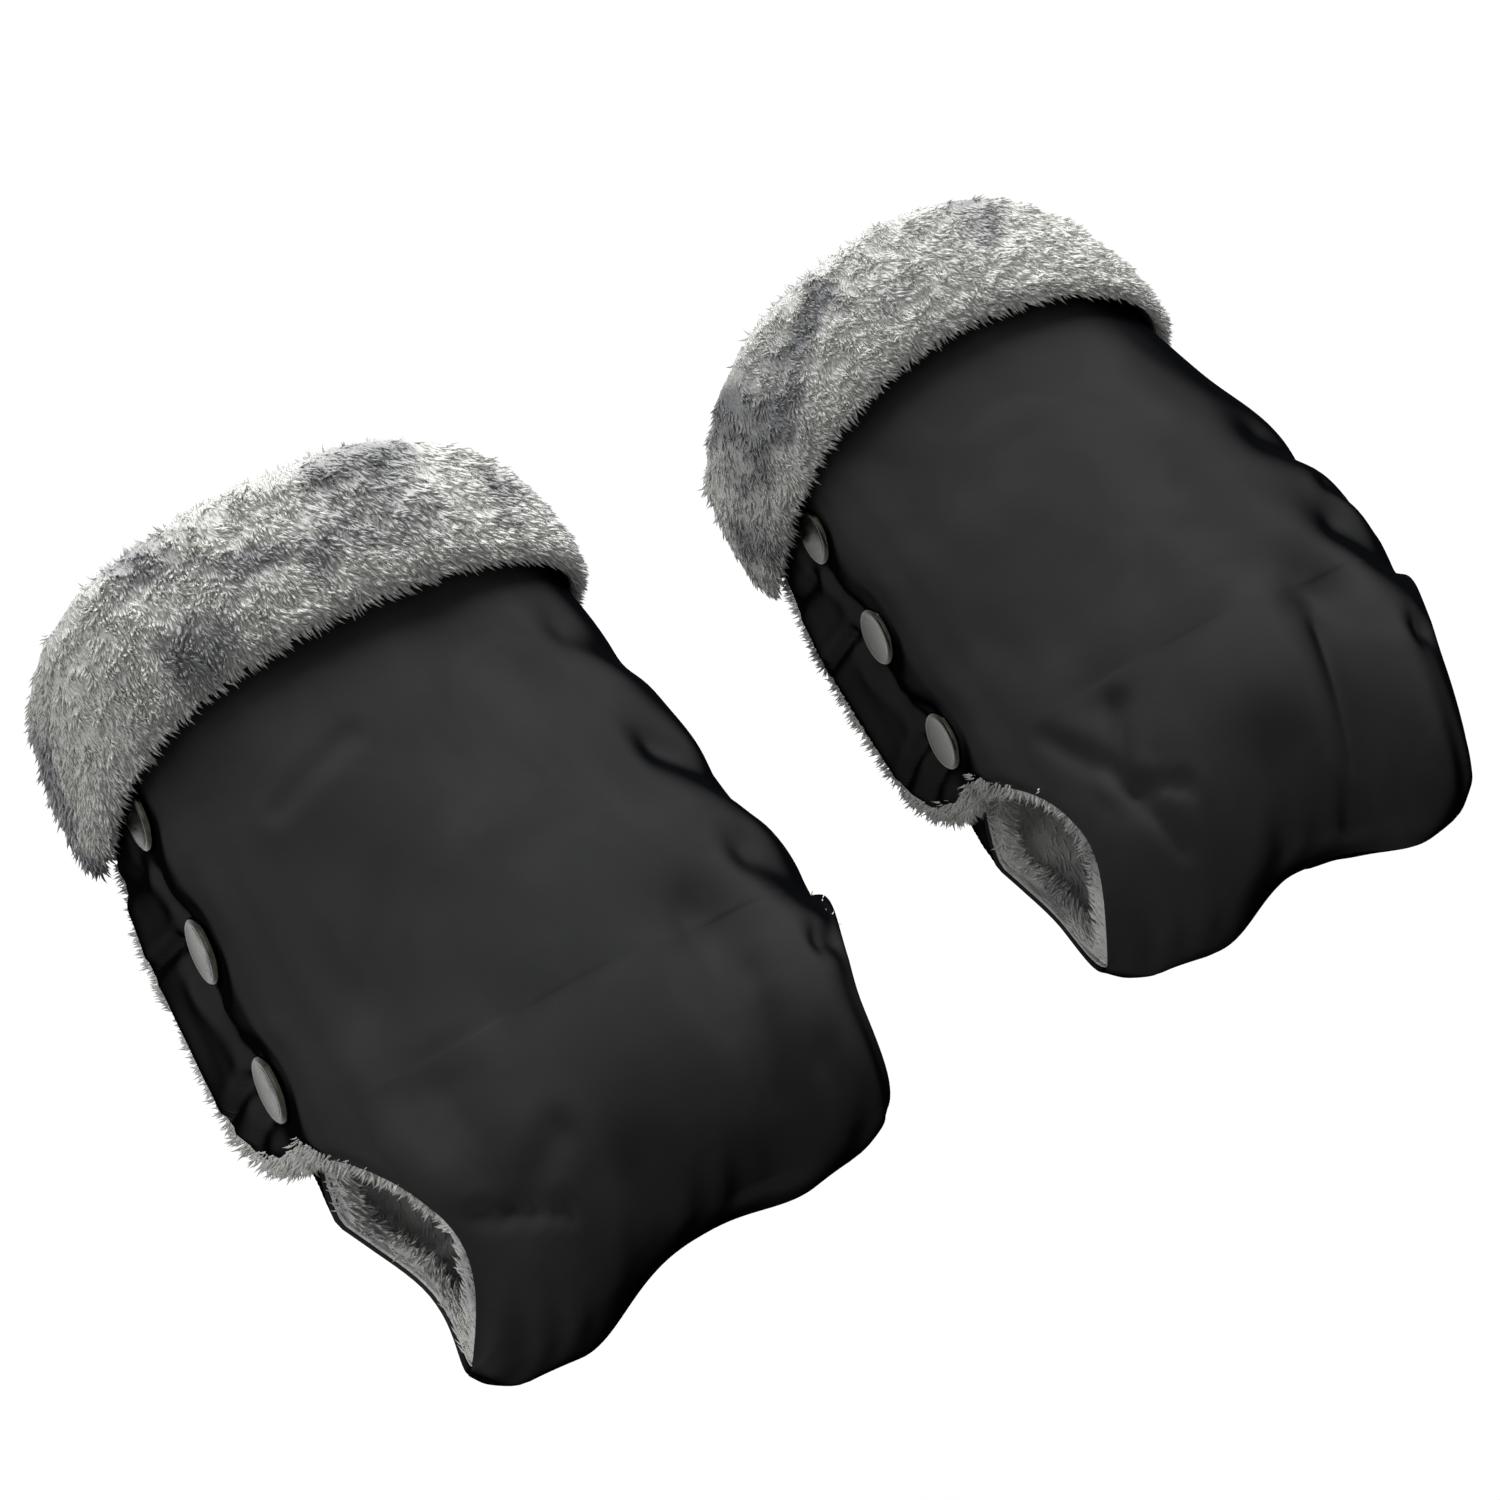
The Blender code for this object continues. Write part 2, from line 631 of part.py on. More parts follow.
def stud_profile():
    """The stud: a base on the lapped edge and a hollow post with a round head."""
    head = STUD_HEAD_DIAMETER / 2
    hole = STEM_DIAMETER / 2 + STEM_CLEARANCE
    neck = hole + STUD_WALL
    base = -(FLAP_DEPTH + LAYER_GAP)
    under = base - STUD_BASE_THICKNESS
    top = -(SHELL_THICKNESS + LAYER_GAP + SOCKET_FLOOR + LAYER_GAP + STEM_ROLL + LAYER_GAP)
    return [(0.0, top), (head - STUD_WALL, top), (head, top - STUD_WALL),
            (neck, top - 2 * STUD_WALL), (neck, base), (STUD_DIAMETER / 2, base),
            (STUD_DIAMETER / 2, under), (hole, under), (hole, top - 2 * STUD_WALL),
            (0.0, top - 2 * STUD_WALL)]


def rivet_profile():
    """The rivet: a disc inside the lining, and a stem that enters the stud."""
    stem = STEM_DIAMETER / 2
    thin_pad = WADDING_THICKNESS * THIN_SHARE
    seat = -(LAP_DEPTH + lining_depth(thin_pad) + PLUSH_THICKNESS + LAYER_GAP)
    stem_end = -(FLAP_DEPTH + LAYER_GAP)
    edge = RIVET_DIAMETER / 2
    return [(0.0, stem_end), (stem, stem_end), (stem, seat), (edge, seat),
            (edge, seat - RIVET_THICKNESS / 2), (edge - RIVET_THICKNESS, seat - RIVET_THICKNESS),
            (0.0, seat - RIVET_THICKNESS)]


def hole_guide(name, radius, parent):
    """Three unseen cylinders on the snaps' axes that cut the fabric's holes."""
    builder = bmesh.new()
    length = 2 * (LAP_DEPTH + lining_depth(WADDING_THICKNESS) + PLUSH_THICKNESS)
    for index in range(SNAP_COUNT):
        bmesh.ops.create_cone(builder, cap_ends=True, segments=HIDDEN_STEP_COUNT, radius1=radius,
                              radius2=radius, depth=length, matrix=snap_frame(index))
    guide = place_piece(name, builder, make_material("guide", (1.0, 1.0, 1.0), 1.0), parent)
    guide.hide_render = True
    guide.display_type = "WIRE"
    return guide


def cut_holes(piece, guide):
    """Cut the snaps' holes through a layer of fabric."""
    cut = piece.modifiers.new("snap_holes", "BOOLEAN")
    cut.operation = "DIFFERENCE"
    cut.solver = "EXACT"
    cut.object = guide


def make_snaps(side, steel, flap, muff):
    """The four pieces of each snap, the outer two on the flap."""
    for index in range(SNAP_COUNT):
        frame = snap_frame(index)
        number = index + 1
        turned_piece(f"{side}_snap_{number}_cap", cap_profile(), frame, CAP_STEP_COUNT, steel, flap)
        turned_piece(f"{side}_snap_{number}_socket", socket_profile(), frame, HIDDEN_STEP_COUNT,
                     steel, flap)
        turned_piece(f"{side}_snap_{number}_stud", stud_profile(), frame, HIDDEN_STEP_COUNT,
                     steel, muff)
        turned_piece(f"{side}_snap_{number}_rivet", rivet_profile(), frame, HIDDEN_STEP_COUNT,
                     steel, muff)


def hinge_frame():
    """The flap's hinge line: its origin, with Z along it towards the mouth."""
    turn = HALF_TURN - OPENING_ANGLE
    depth = -(CUFF_PROUD + HINGE_MARGIN)
    low = muff_point(turn, OPENING_TOP, depth, no_step, LAYER_GAP / 2)
    high = muff_point(turn, MOUTH_LEVEL, depth, no_step, LAYER_GAP / 2)
    along = (high - low).normalized()
    across = along.cross(Vector((0.0, 0.0, 1.0))).normalized()
    turned = Matrix((across, along.cross(across), along)).transposed().to_4x4()
    return Matrix.Translation(blend(low, high, 0.5)) @ turned


def make_empty(name, matrix, parent=None):
    """An empty that carries the pieces of one moving body."""
    empty = bpy.data.objects.new(name, None)
    bpy.context.scene.collection.objects.link(empty)
    empty.parent = parent
    empty.matrix_basis = matrix
    return empty


def make_muff(side, frame, finishes):
    """One muff: front panel, back panel, flap and snaps."""
    muff = make_empty(f"{side}_muff", frame)
    hinge = make_empty(f"{side}_flap_hinge", hinge_frame(), muff)
    front = {"columns": FRONT_COLUMN_COUNT, "turn": front_turn, "step": no_step,
             "lift": LAYER_GAP / 2, "wadding_start": 0, "cuff_start": 0,
             "folds": LEFT_FOLD_SHARES if side == "left" else RIGHT_FOLD_SHARES}
    back = {"columns": BACK_COLUMN_COUNT, "turn": back_turn, "step": lap_step,
            "lift": -LAYER_GAP / 2, "wadding_start": BACK_WADDING_SKIP_COUNT,
            "cuff_start": BACK_CUFF_SKIP_COUNT, "folds": ()}
    stem_guide = hole_guide(f"{side}_stem_guide", STEM_DIAMETER / 2 + STEM_CLEARANCE, muff)
    socket_guide = hole_guide(f"{side}_socket_guide", SOCKET_DIAMETER / 2 + SOCKET_PLAY, muff)
    pieces = {}
    for panel_name, panel in (("front", front), ("back", back)):
        for layer in ("shell", "wadding", "lining"):
            name = f"{side}_{panel_name}_{layer}"
            pieces[f"{panel_name}_{layer}"] = sewn_piece(name, panel_layer(panel, layer),
                                                         finishes[layer], muff)
        sewn_piece(f"{side}_{panel_name}_cuff", panel_cuff(panel, cuff_path),
                   finishes["lining"], muff)
        sewn_piece(f"{side}_{panel_name}_cuff_backing", panel_cuff(panel, backing_path),
                   finishes["shell"], muff)
    for layer in ("shell", "lining"):
        name = f"{side}_flap_{layer}"
        pieces[f"flap_{layer}"] = sewn_piece(name, flap_layer(layer), finishes[layer], hinge)
    sewn_piece(f"{side}_flap_cuff", flap_cuff(cuff_path, PLUSH_FRINGE), finishes["lining"], hinge)
    sewn_piece(f"{side}_flap_cuff_backing", flap_cuff(backing_path, 0.0), finishes["shell"], hinge)
    for name in ("flap_shell", "back_shell", "back_lining"):
        cut_holes(pieces[name], stem_guide)
    cut_holes(pieces["flap_lining"], socket_guide)
    make_snaps(side, finishes["steel"], hinge, muff)


def main():
    for item in list(bpy.data.objects):
        bpy.data.objects.remove(item, do_unlink=True)
    finishes = {
        "shell": make_material("black_nylon", (0.010, 0.010, 0.011), 0.45, sheen=0.2),
        "wadding": make_material("white_wadding", (0.80, 0.80, 0.78), 0.95),
        "lining": make_material("grey_plush", (0.50, 0.50, 0.48), 0.95, sheen=0.5),
        "steel": make_material("dark_nickel", (0.30, 0.29, 0.26), 0.22, metallic=1.0),
    }
    tilt = Matrix.Rotation(TILT, 4, "X")
    left_place = Matrix.Translation((-PAIR_SPACING / 2, 0.0, 0.0))
    make_muff("left", left_place @ tilt, finishes)
    right_place = Matrix.Translation((PAIR_SPACING / 2, RIGHT_SHIFT_BACK, RIGHT_SHIFT_UP))
    settled = Euler((RIGHT_SWING, RIGHT_ROLL, RIGHT_YAW), "XYZ").to_matrix().to_4x4()
    make_muff("right", right_place @ tilt @ settled, finishes)
    bpy.context.view_layer.update()


main()
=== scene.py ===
# %% [markdown]
# A pair of padded hand muffs for a pram's handlebar. Each muff is sewn from three
# layers: black nylon outside, wadding in the middle and grey plush inside. At the
# mouth the plush is turned back over the rim as a cuff, and on the left side a flap
# with three snap fasteners closes the muff round the bar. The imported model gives
# the size and the joints, and this lesson dresses it.
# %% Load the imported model
import math

import bmesh
import bpy
import numpy as np
from mathutils import Euler, Matrix, Vector, noise


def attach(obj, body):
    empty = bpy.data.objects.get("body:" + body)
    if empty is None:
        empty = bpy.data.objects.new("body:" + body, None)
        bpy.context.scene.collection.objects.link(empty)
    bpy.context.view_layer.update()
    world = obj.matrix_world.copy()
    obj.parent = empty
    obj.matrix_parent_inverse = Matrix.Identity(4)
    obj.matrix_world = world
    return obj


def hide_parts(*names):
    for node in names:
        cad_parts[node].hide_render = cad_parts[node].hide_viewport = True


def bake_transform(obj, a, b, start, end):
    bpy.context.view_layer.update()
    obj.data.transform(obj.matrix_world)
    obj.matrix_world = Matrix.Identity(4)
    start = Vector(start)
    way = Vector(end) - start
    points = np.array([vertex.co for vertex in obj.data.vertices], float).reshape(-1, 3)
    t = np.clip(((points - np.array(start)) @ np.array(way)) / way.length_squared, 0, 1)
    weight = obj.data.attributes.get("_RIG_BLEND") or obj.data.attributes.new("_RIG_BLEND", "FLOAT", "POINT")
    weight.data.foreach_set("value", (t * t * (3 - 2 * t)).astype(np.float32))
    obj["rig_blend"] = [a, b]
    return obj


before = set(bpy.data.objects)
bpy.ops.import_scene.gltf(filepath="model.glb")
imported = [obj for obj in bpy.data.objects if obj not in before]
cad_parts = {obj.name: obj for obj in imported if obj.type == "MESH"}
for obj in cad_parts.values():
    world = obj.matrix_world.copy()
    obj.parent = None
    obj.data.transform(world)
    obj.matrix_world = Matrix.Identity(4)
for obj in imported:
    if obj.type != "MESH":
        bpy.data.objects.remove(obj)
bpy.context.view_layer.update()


def new_object(name, data):
    """A new object, linked into the scene."""
    made = bpy.data.objects.new(name, data)
    bpy.context.scene.collection.objects.link(made)
    return made


def finished_mesh(builder, name, material=None, sharp_angle=None):
    """The builder's mesh, shaded smooth but for edges that are sharper than an angle."""
    mesh = bpy.data.meshes.new(name)
    builder.to_mesh(mesh)
    builder.free()
    mesh.shade_smooth()
    if sharp_angle:
        mesh.set_sharp_from_angle(angle=math.radians(sharp_angle))
    if material:
        mesh.materials.append(material)
    return mesh


def face_along(made, location, direction):
    """Put a camera or a lamp somewhere and turn it along a direction."""
    made.location = location
    made.rotation_mode = "QUATERNION"
    made.rotation_quaternion = direction.to_track_quat("-Z", "Y")


# %% [markdown]
# The photograph was taken from above and to the left of the muffs. The camera is a
# long lens, turned so that the picture's middle falls between the two of them.
# %% Camera
CAMERA_PLACE = Vector((-0.38267, -0.41145, 0.51016))
CAMERA_AZIMUTH = math.radians(-36.24)
CAMERA_ELEVATION = math.radians(38.10)
camera = new_object("camera", bpy.data.cameras.new("camera"))
camera_back = Vector((math.sin(CAMERA_AZIMUTH) * math.cos(CAMERA_ELEVATION),
                      -math.cos(CAMERA_AZIMUTH) * math.cos(CAMERA_ELEVATION),
                      math.sin(CAMERA_ELEVATION)))
face_along(camera, CAMERA_PLACE, -camera_back)
camera.data.sensor_width = 36.0
camera.data.lens = 58.9
camera.data.clip_start = 0.01
bpy.context.scene.camera = camera

# %% [markdown]
# The muff's shape is a soft tube. Its section is a squarish ellipse, it closes to a
# seam at the bottom, and its left side is a flat face that carries the snaps. The
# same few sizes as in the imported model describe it, so each finer piece made here
# fills the space of the solid that it stands for.
# %% Sizes of the muff, in metres
SHELL = 0.0010
WADDING = 0.0080
PLUSH = 0.0040
GAP = 0.0003
LEFT_REACH, LEFT_REACH_MOUTH = 0.0980, 0.0900
RIGHT_REACH, RIGHT_REACH_MOUTH = 0.0850, 0.0620
FRONT_RISE, FRONT_RISE_MOUTH = 0.0500, 0.0450
BACK_RISE, BACK_RISE_MOUTH = 0.0460, 0.0420
MOUTH_LEVEL = 0.1900
CLOSING_LEVEL = 0.0220
SEAM_LEVEL = -0.0380
SEAM_DIP_LEFT, SEAM_DIP_RIGHT = 0.0170, 0.0080
SEAM_DIP_REACH = 0.7
CLOSING_POWER, CLOSING_ROOT = 2.2, 0.6
CORNER_RADIUS = 0.0340
LEFT_CORNER, RIGHT_CORNER = 0.7, 1.0
OPENING_CENTRE = -0.0080
OPENING_HALF_LENGTH = 0.0380
OPENING_TOP = OPENING_CENTRE + OPENING_HALF_LENGTH
OPENING_ANGLE = math.radians(37.0)
FRINGE = 0.0030
RIM = {"left": 0.1900, "front": 0.2030, "right": 0.1840, "back": 0.1850}
CUFF_LENGTH = {"left": 0.0510, "front": 0.0500, "right": 0.0360, "back": 0.0460}
FACE_AT_BAR, FACE_AT_MOUTH = 0.0915, 0.0840
FLAP_DROP = 0.0310
FLAP_CORNER = 0.0460
UNDERLAP_RISE, UNDERLAP_SLANT = 0.0200, 0.0150
CAP_HEIGHT, CAP_DIAMETER = 0.0024, 0.0200
SNAP_LEVELS = (0.0480, 0.0910, 0.1340)
SNAP_RISE = 0.0100
PAIR_SPACING = 0.2458
TILT = math.radians(30.23)
RIGHT_TURNS = [math.radians(angle) for angle in (-7.75, -8.94, -1.71)]
RIGHT_SHIFT = (0.0025, 0.0104)
SECTION_POWER = 0.88
LOWEST = SEAM_LEVEL - SEAM_DIP_LEFT
FLAP_DEPTH = SHELL + GAP + PLUSH
LAP_DEPTH = FLAP_DEPTH + 2 * GAP + 0.0009
CUFF_STANDOFF = CAP_HEIGHT + 2 * GAP
CUFF_PROUD = CUFF_STANDOFF + FLAP_DEPTH
BACKING_RADIUS = CUFF_STANDOFF / 2 + SHELL

tilt = Matrix.Rotation(TILT, 4, "X")
settled = Euler(RIGHT_TURNS, "XYZ").to_matrix().to_4x4()
PLACES = {
    "left": Matrix.Translation((-PAIR_SPACING / 2, 0.0, 0.0)) @ tilt,
    "right": Matrix.Translation((PAIR_SPACING / 2, *RIGHT_SHIFT)) @ tilt @ settled,
}
print("muffs' places:", {side: tuple(place.translation) for side, place in PLACES.items()})


# %% The surface of the muff
def blend(start, end, share):
    return start + (end - start) * share


def smooth_share(share):
    share = min(max(share, 0.0), 1.0)
    return share * share * (3.0 - 2.0 * share)


def squared_off(value):
    return math.copysign(abs(value) ** SECTION_POWER, value)


def seam_level(turn):
    dip = SEAM_DIP_LEFT if math.cos(turn) < 0 else SEAM_DIP_RIGHT
    reach = min(abs(math.cos(turn)) / SEAM_DIP_REACH, 1.0)
    return SEAM_LEVEL - dip * (1.0 - math.cos(math.pi * reach)) / 2


def round_the_mouth(turn, sizes):
    side = sizes["left"] if math.cos(turn) < 0 else sizes["right"]
    face = sizes["front"] if math.sin(turn) > 0 else sizes["back"]
    return blend(face, side, math.cos(turn) ** 2)


def flap_face(level):
    return blend(FACE_AT_BAR, FACE_AT_MOUTH, level / MOUTH_LEVEL)


def lap_step(level):
    return LAP_DEPTH * smooth_share((level - LOWEST) / (OPENING_TOP - LOWEST))


def no_step(_):
    return 0.0


def closing(level):
    return min(max((CLOSING_LEVEL - level) / (CLOSING_LEVEL - LOWEST), 0.0), 1.0)


def section_width(turn, level, depth):
    along = max(level, 0.0) / MOUTH_LEVEL
    if math.cos(turn) < 0:
        width, corner = blend(LEFT_REACH, LEFT_REACH_MOUTH, along), LEFT_CORNER
    else:
        width, corner = blend(RIGHT_REACH, RIGHT_REACH_MOUTH, along), RIGHT_CORNER
    room = (1.0 - closing(level)) * (CLOSING_LEVEL - seam_level(turn) - depth)
    if room < CORNER_RADIUS:
        inset = 1.0 - room / CORNER_RADIUS
        width -= corner * CORNER_RADIUS * (1.0 - math.sqrt(max(1.0 - inset * inset, 0.0)))
    return width - depth


def section_rise(turn, level, depth):
    along = max(level, 0.0) / MOUTH_LEVEL
    if math.sin(turn) > 0:
        rise = blend(FRONT_RISE, FRONT_RISE_MOUTH, along)
    else:
        rise = blend(BACK_RISE, BACK_RISE_MOUTH, along)
    return (rise - depth) * max(1.0 - closing(level) ** CLOSING_POWER, 0.0) ** CLOSING_ROOT


def muff_point(turn, level, depth, step, lift):
    """A point of the muff's wall at a turn round it, a level along it and a depth."""
    across = section_width(turn, level, depth) * squared_off(math.cos(turn))
    across = max(across, depth + step(level) - flap_face(level))
    rise = section_rise(turn, level, depth) * squared_off(math.sin(turn)) + lift
    height = level
    if level < CLOSING_LEVEL:
        drop = CLOSING_LEVEL - seam_level(turn) - depth
        height = CLOSING_LEVEL - closing(level) * drop
    return Vector((across, height, rise))


def opening_angle(level):
    place = (level - OPENING_CENTRE) / OPENING_HALF_LENGTH
    return OPENING_ANGLE * math.sqrt(max(1.0 - place * place, 0.0))


def angle_at_rise(rise):
    return math.asin(min(rise / FRONT_RISE, 1.0) ** (1.0 / SECTION_POWER))


def front_turn(share, level):
    left = OPENING_ANGLE if level > OPENING_CENTRE else opening_angle(level)
    return blend(opening_angle(level), math.pi - left, share)


def back_turn(share, level):
    opened = opening_angle(level)
    lapped = angle_at_rise(UNDERLAP_RISE)
    lapped *= smooth_share((level - OPENING_TOP) / UNDERLAP_SLANT)
    return blend(math.pi + opened - lapped, 2 * math.pi - opened, share)


THIN_PAD, THIN_EDGE, THIN_SEAM = 0.1, 0.16, 0.035


def pad_thickness(share, level):
    """Wadding thickness, full in the middle and thin along the panel's edges."""
    across = blend(THIN_PAD, 1.0, smooth_share(min(share, 1.0 - share) / THIN_EDGE))
    along = blend(THIN_PAD, 1.0, smooth_share((level - LOWEST) / THIN_SEAM))
    return WADDING * across * along


def lining_depth(pad):
    return SHELL + GAP + pad + GAP


OPENING_FROM, OPENING_TO = 0.18, 0.46
ROW_EVENNESS = 0.75


def panel_level(share, top):
    """Levels from the seam to a layer's top, closer together round the bar opening."""
    if share < OPENING_FROM:
        return blend(LOWEST, OPENING_CENTRE - OPENING_HALF_LENGTH, share / OPENING_FROM)
    if share < OPENING_TO:
        angle = math.pi * (share - OPENING_FROM) / (OPENING_TO - OPENING_FROM)
        return OPENING_CENTRE - OPENING_HALF_LENGTH * math.cos(angle)
    above = (share - OPENING_TO) / (1.0 - OPENING_TO)
    return blend(OPENING_TOP, top, above * blend(above, 1.0, ROW_EVENNESS))


PANELS = {
    "front": {"turn": front_turn, "step": no_step, "lift": GAP / 2},
    "back": {"turn": back_turn, "step": lap_step, "lift": -GAP / 2},
}

# %% [markdown]
# Filled cloth is never smooth. The photograph shows long soft valleys above the
# bottom seam, a few short puckers where the bar's openings pull the cloth together,
# and scalloped sides. Each fold is a line on the panel with a width and a depth: a
# valley along it and a small swell on either side.
# %% Folds in the cloth
FRONT_FOLDS = {
    "left": [
        ((0.030, 0.030), (0.022, -0.034), 0.0130, 0.0050),
        ((0.036, 0.012), (0.030, -0.020), 0.0040, 0.0012),
        ((-0.078, -0.012), (-0.048, -0.022), 0.0024, 0.0022),
        ((-0.066, -0.016), (-0.060, 0.020), 0.0090, 0.0028),
        ((-0.060, -0.016), (-0.040, -0.004), 0.0040, 0.0016),
        ((-0.061, 0.110), (-0.034, 0.120), 0.0028, 0.0009),
        ((0.072, 0.064), (0.050, 0.084), 0.0070, 0.0034),
        ((0.078, 0.026), (0.056, 0.044), 0.0090, 0.0036),
        ((0.084, 0.006), (0.060, 0.012), 0.0040, 0.0020),
        ((0.064, 0.118), (0.046, 0.128), 0.0070, 0.0020),
        ((-0.030, -0.050), (-0.024, -0.022), 0.0070, 0.0020),
        ((0.052, -0.044), (0.046, -0.020), 0.0070, 0.0022),
    ],
    "right": [
        ((0.030, 0.023), (0.012, -0.036), 0.0125, 0.0054),
        ((0.024, 0.014), (0.016, -0.022), 0.0036, 0.0014),
        ((-0.064, -0.004), (-0.054, 0.019), 0.0100, 0.0030),
        ((-0.062, 0.000), (-0.050, 0.022), 0.0028, 0.0018),
        ((-0.062, -0.004), (-0.046, -0.012), 0.0026, 0.0020),
        ((-0.062, 0.002), (-0.074, 0.024), 0.0034, 0.0018),
        ((-0.061, -0.006), (-0.057, -0.028), 0.0034, 0.0022),
        ((0.082, 0.021), (0.056, 0.046), 0.0090, 0.0040),
        ((0.076, 0.050), (0.060, 0.062), 0.0034, 0.0014),
        ((0.074, 0.070), (0.054, 0.086), 0.0080, 0.0032),
        ((0.084, -0.004), (0.060, 0.002), 0.0040, 0.0020),
        ((-0.016, -0.040), (-0.014, -0.016), 0.0080, 0.0024),
    ],
}
BACK_FOLDS = [
    ((-0.026, 0.026), (-0.020, -0.034), 0.0110, 0.0046),
    ((0.036, 0.020), (0.030, -0.036), 0.0090, 0.0040),
    ((0.078, 0.030), (0.054, 0.044), 0.0055, 0.0032),
    ((0.070, 0.090), (0.050, 0.098), 0.0060, 0.0024),
    ((-0.084, 0.010), (-0.060, 0.018), 0.0050, 0.0030),
    ((-0.010, 0.110), (0.020, 0.118), 0.0060, 0.0014),
]
FOLD_WANDER = 0.15
FOLD_SWELL, FOLD_SWELL_AT = 0.15, 2.2
BROAD_LOFT, FINE_LOFT = 0.0032, 0.0007
GATHER_DEPTH, GATHER_REACH = 0.0016, 0.010


def fold_relief(across, level, folds):
    """How far the cloth stands out of its smooth shape, from its fold lines."""
    relief = 0.0
    place = Vector((across, level))
    for start, end, width, depth in folds:
        start, end = Vector(start), Vector(end)
        run = end - start
        along = (place - start).dot(run) / run.length_squared
        nearest = start + run * min(max(along, 0.0), 1.0)
        wander = FOLD_WANDER * noise.noise(Vector((60 * across, 60 * level, 3.0)))
        away = (place - nearest).length / width + wander
        beside = FOLD_SWELL * math.exp(-(away - FOLD_SWELL_AT) ** 2)
        relief += depth * (beside - math.exp(-away * away))
    return relief


def loft(across, level, seed):
    """Uneven filling: broad soft swells and a little smaller unrest."""
    broad = noise.noise(Vector((16 * across, 11 * level, seed)))
    fine = noise.noise(Vector((55 * across, 38 * level, seed + 7.0)))
    return BROAD_LOFT * broad + FINE_LOFT * fine


def seam_gathers(across, level, turn):
    """Small gathers that the bottom seam pulls into the cloth above it."""
    above = level - seam_level(turn)
    strength = math.exp(-above / GATHER_REACH) * smooth_share(above / 0.002)
    wave = math.sin(across * 330.0 + 2.0 * math.sin(across * 90.0))
    return GATHER_DEPTH * strength * wave


print("fold lines:", {side: len(folds) for side, folds in FRONT_FOLDS.items()})

# %% [markdown]
# No two sewn muffs hang alike. In the photograph some corners are drawn in and some
# sides bulge, so every layer is moved in the same way, by up to 15 mm. Each move has
# a place on the muff, a radius, and a shift across the bar and along the level.
# %% Where each muff has settled
SETTLING = {
    "left": [
        ((-0.082, -0.036), 0.034, (0.0150, 0.0040)),
        ((0.075, 0.150), 0.050, (-0.0065, 0.0)),
        ((0.082, 0.040), 0.035, (0.0030, 0.0)),
        ((0.088, -0.020), 0.030, (-0.0070, 0.0020)),
        ((0.055, -0.045), 0.030, (0.0, 0.0030)),
        ((0.000, -0.045), 0.030, (0.0, -0.0030)),
    ],
    "right": [
        ((-0.080, -0.045), 0.034, (0.0060, 0.0060)),
        ((-0.020, 0.190), 0.080, (0.0, 0.0125)),
        ((0.075, 0.180), 0.050, (-0.0070, 0.0)),
        ((0.085, 0.068), 0.045, (0.0100, 0.0)),
        ((0.088, -0.030), 0.032, (-0.0130, 0.0020)),
        ((0.030, -0.045), 0.040, (0.0, -0.0070)),
    ],
}


def settle(side, point):
    """The point where the cloth has moved to, all layers alike."""
    moved = point.copy()
    for centre, radius, shift in SETTLING[side]:
        away = math.hypot(point.x - centre[0], point.y - centre[1]) / radius
        strength = math.exp(-away * away)
        moved.x += strength * shift[0]
        moved.y += strength * shift[1]
    return moved


print("moves:", {side: len(moves) for side, moves in SETTLING.items()})

# %% [markdown]
# Each layer of a panel is a wall between two faces. Both faces start as flat grids
# whose points are laid round the muff one by one, and the rims of the two grids are
# then bridged, so every wall is closed. The grids keep their flat coordinates as a
# UV map in metres, which the weave follows. Two attributes go with the points: the
# nap, which is the way the plush leans, and the pile, which says where it grows.
# %% Laying a wall round the muff
MATERIALS = {}
SHARP_CLOTH = 55.0


def lay_face(builder, columns, rows, place_at, cloth_size):
    """One face of a wall; place_at(u, v) gives a point, its nap and its pile."""
    made = bmesh.ops.create_grid(builder, x_segments=columns, y_segments=rows, size=0.5)
    cloth = builder.loops.layers.uv["cloth"]
    nap = builder.verts.layers.float_vector["nap"]
    pile = builder.verts.layers.float["pile"]
    for vert in made["verts"]:
        u, v = vert.co.x + 0.5, vert.co.y + 0.5
        for loop in vert.link_loops:
            loop[cloth].uv = (u * cloth_size[0], v * cloth_size[1])
        vert.co, vert[nap], vert[pile] = place_at(u, v)


def both_faces(maker, *arguments):
    """A wall's outer and inner face."""
    return [maker(*arguments, inner) for inner in (False, True)]


def laid_wall(name, grid, faces, cloth_size, side, finish):
    """A finished closed wall between an outer and an inner face, at the origin."""
    builder = bmesh.new()
    builder.loops.layers.uv.new("cloth")
    builder.verts.layers.float_vector.new("nap")
    builder.verts.layers.float.new("pile")
    for place_at in faces:
        lay_face(builder, *grid, place_at, cloth_size)
    rims = [edge for edge in builder.edges if edge.is_boundary]
    bmesh.ops.bridge_loops(builder, edges=rims)
    bmesh.ops.recalc_face_normals(builder, faces=builder.faces)
    nap = builder.verts.layers.float_vector["nap"]
    place = PLACES[side]
    turned = place.to_3x3()
    for vert in builder.verts:
        vert.co = place @ settle(side, vert.co)
        vert[nap] = turned @ vert[nap]
    piece = new_object(name, finished_mesh(builder, name, MATERIALS[finish], SHARP_CLOTH))
    return piece


LEAST_RISE = 0.004
EDGE_HELD, SEAM_HELD, TOP_HELD = 0.09, 0.006, 0.03
FRINGE_EDGE = 0.01


def outward(turn, level):
    """The direction out of the muff's wall, across the bar."""
    rise = max(section_rise(turn, level, 0.0), LEAST_RISE)
    return Vector((math.cos(turn) / section_width(turn, level, 0.0), 0.0,
                   math.sin(turn) / rise)).normalized()


def edge_hold(share, level, top):
    """The cloth is held along the panel's two edges, at the seam and under the cuff."""
    sides = smooth_share(min(share, 1.0 - share) / EDGE_HELD)
    at_seam = smooth_share((level - LOWEST) / SEAM_HELD)
    return sides * at_seam * smooth_share((top - level) / TOP_HELD)


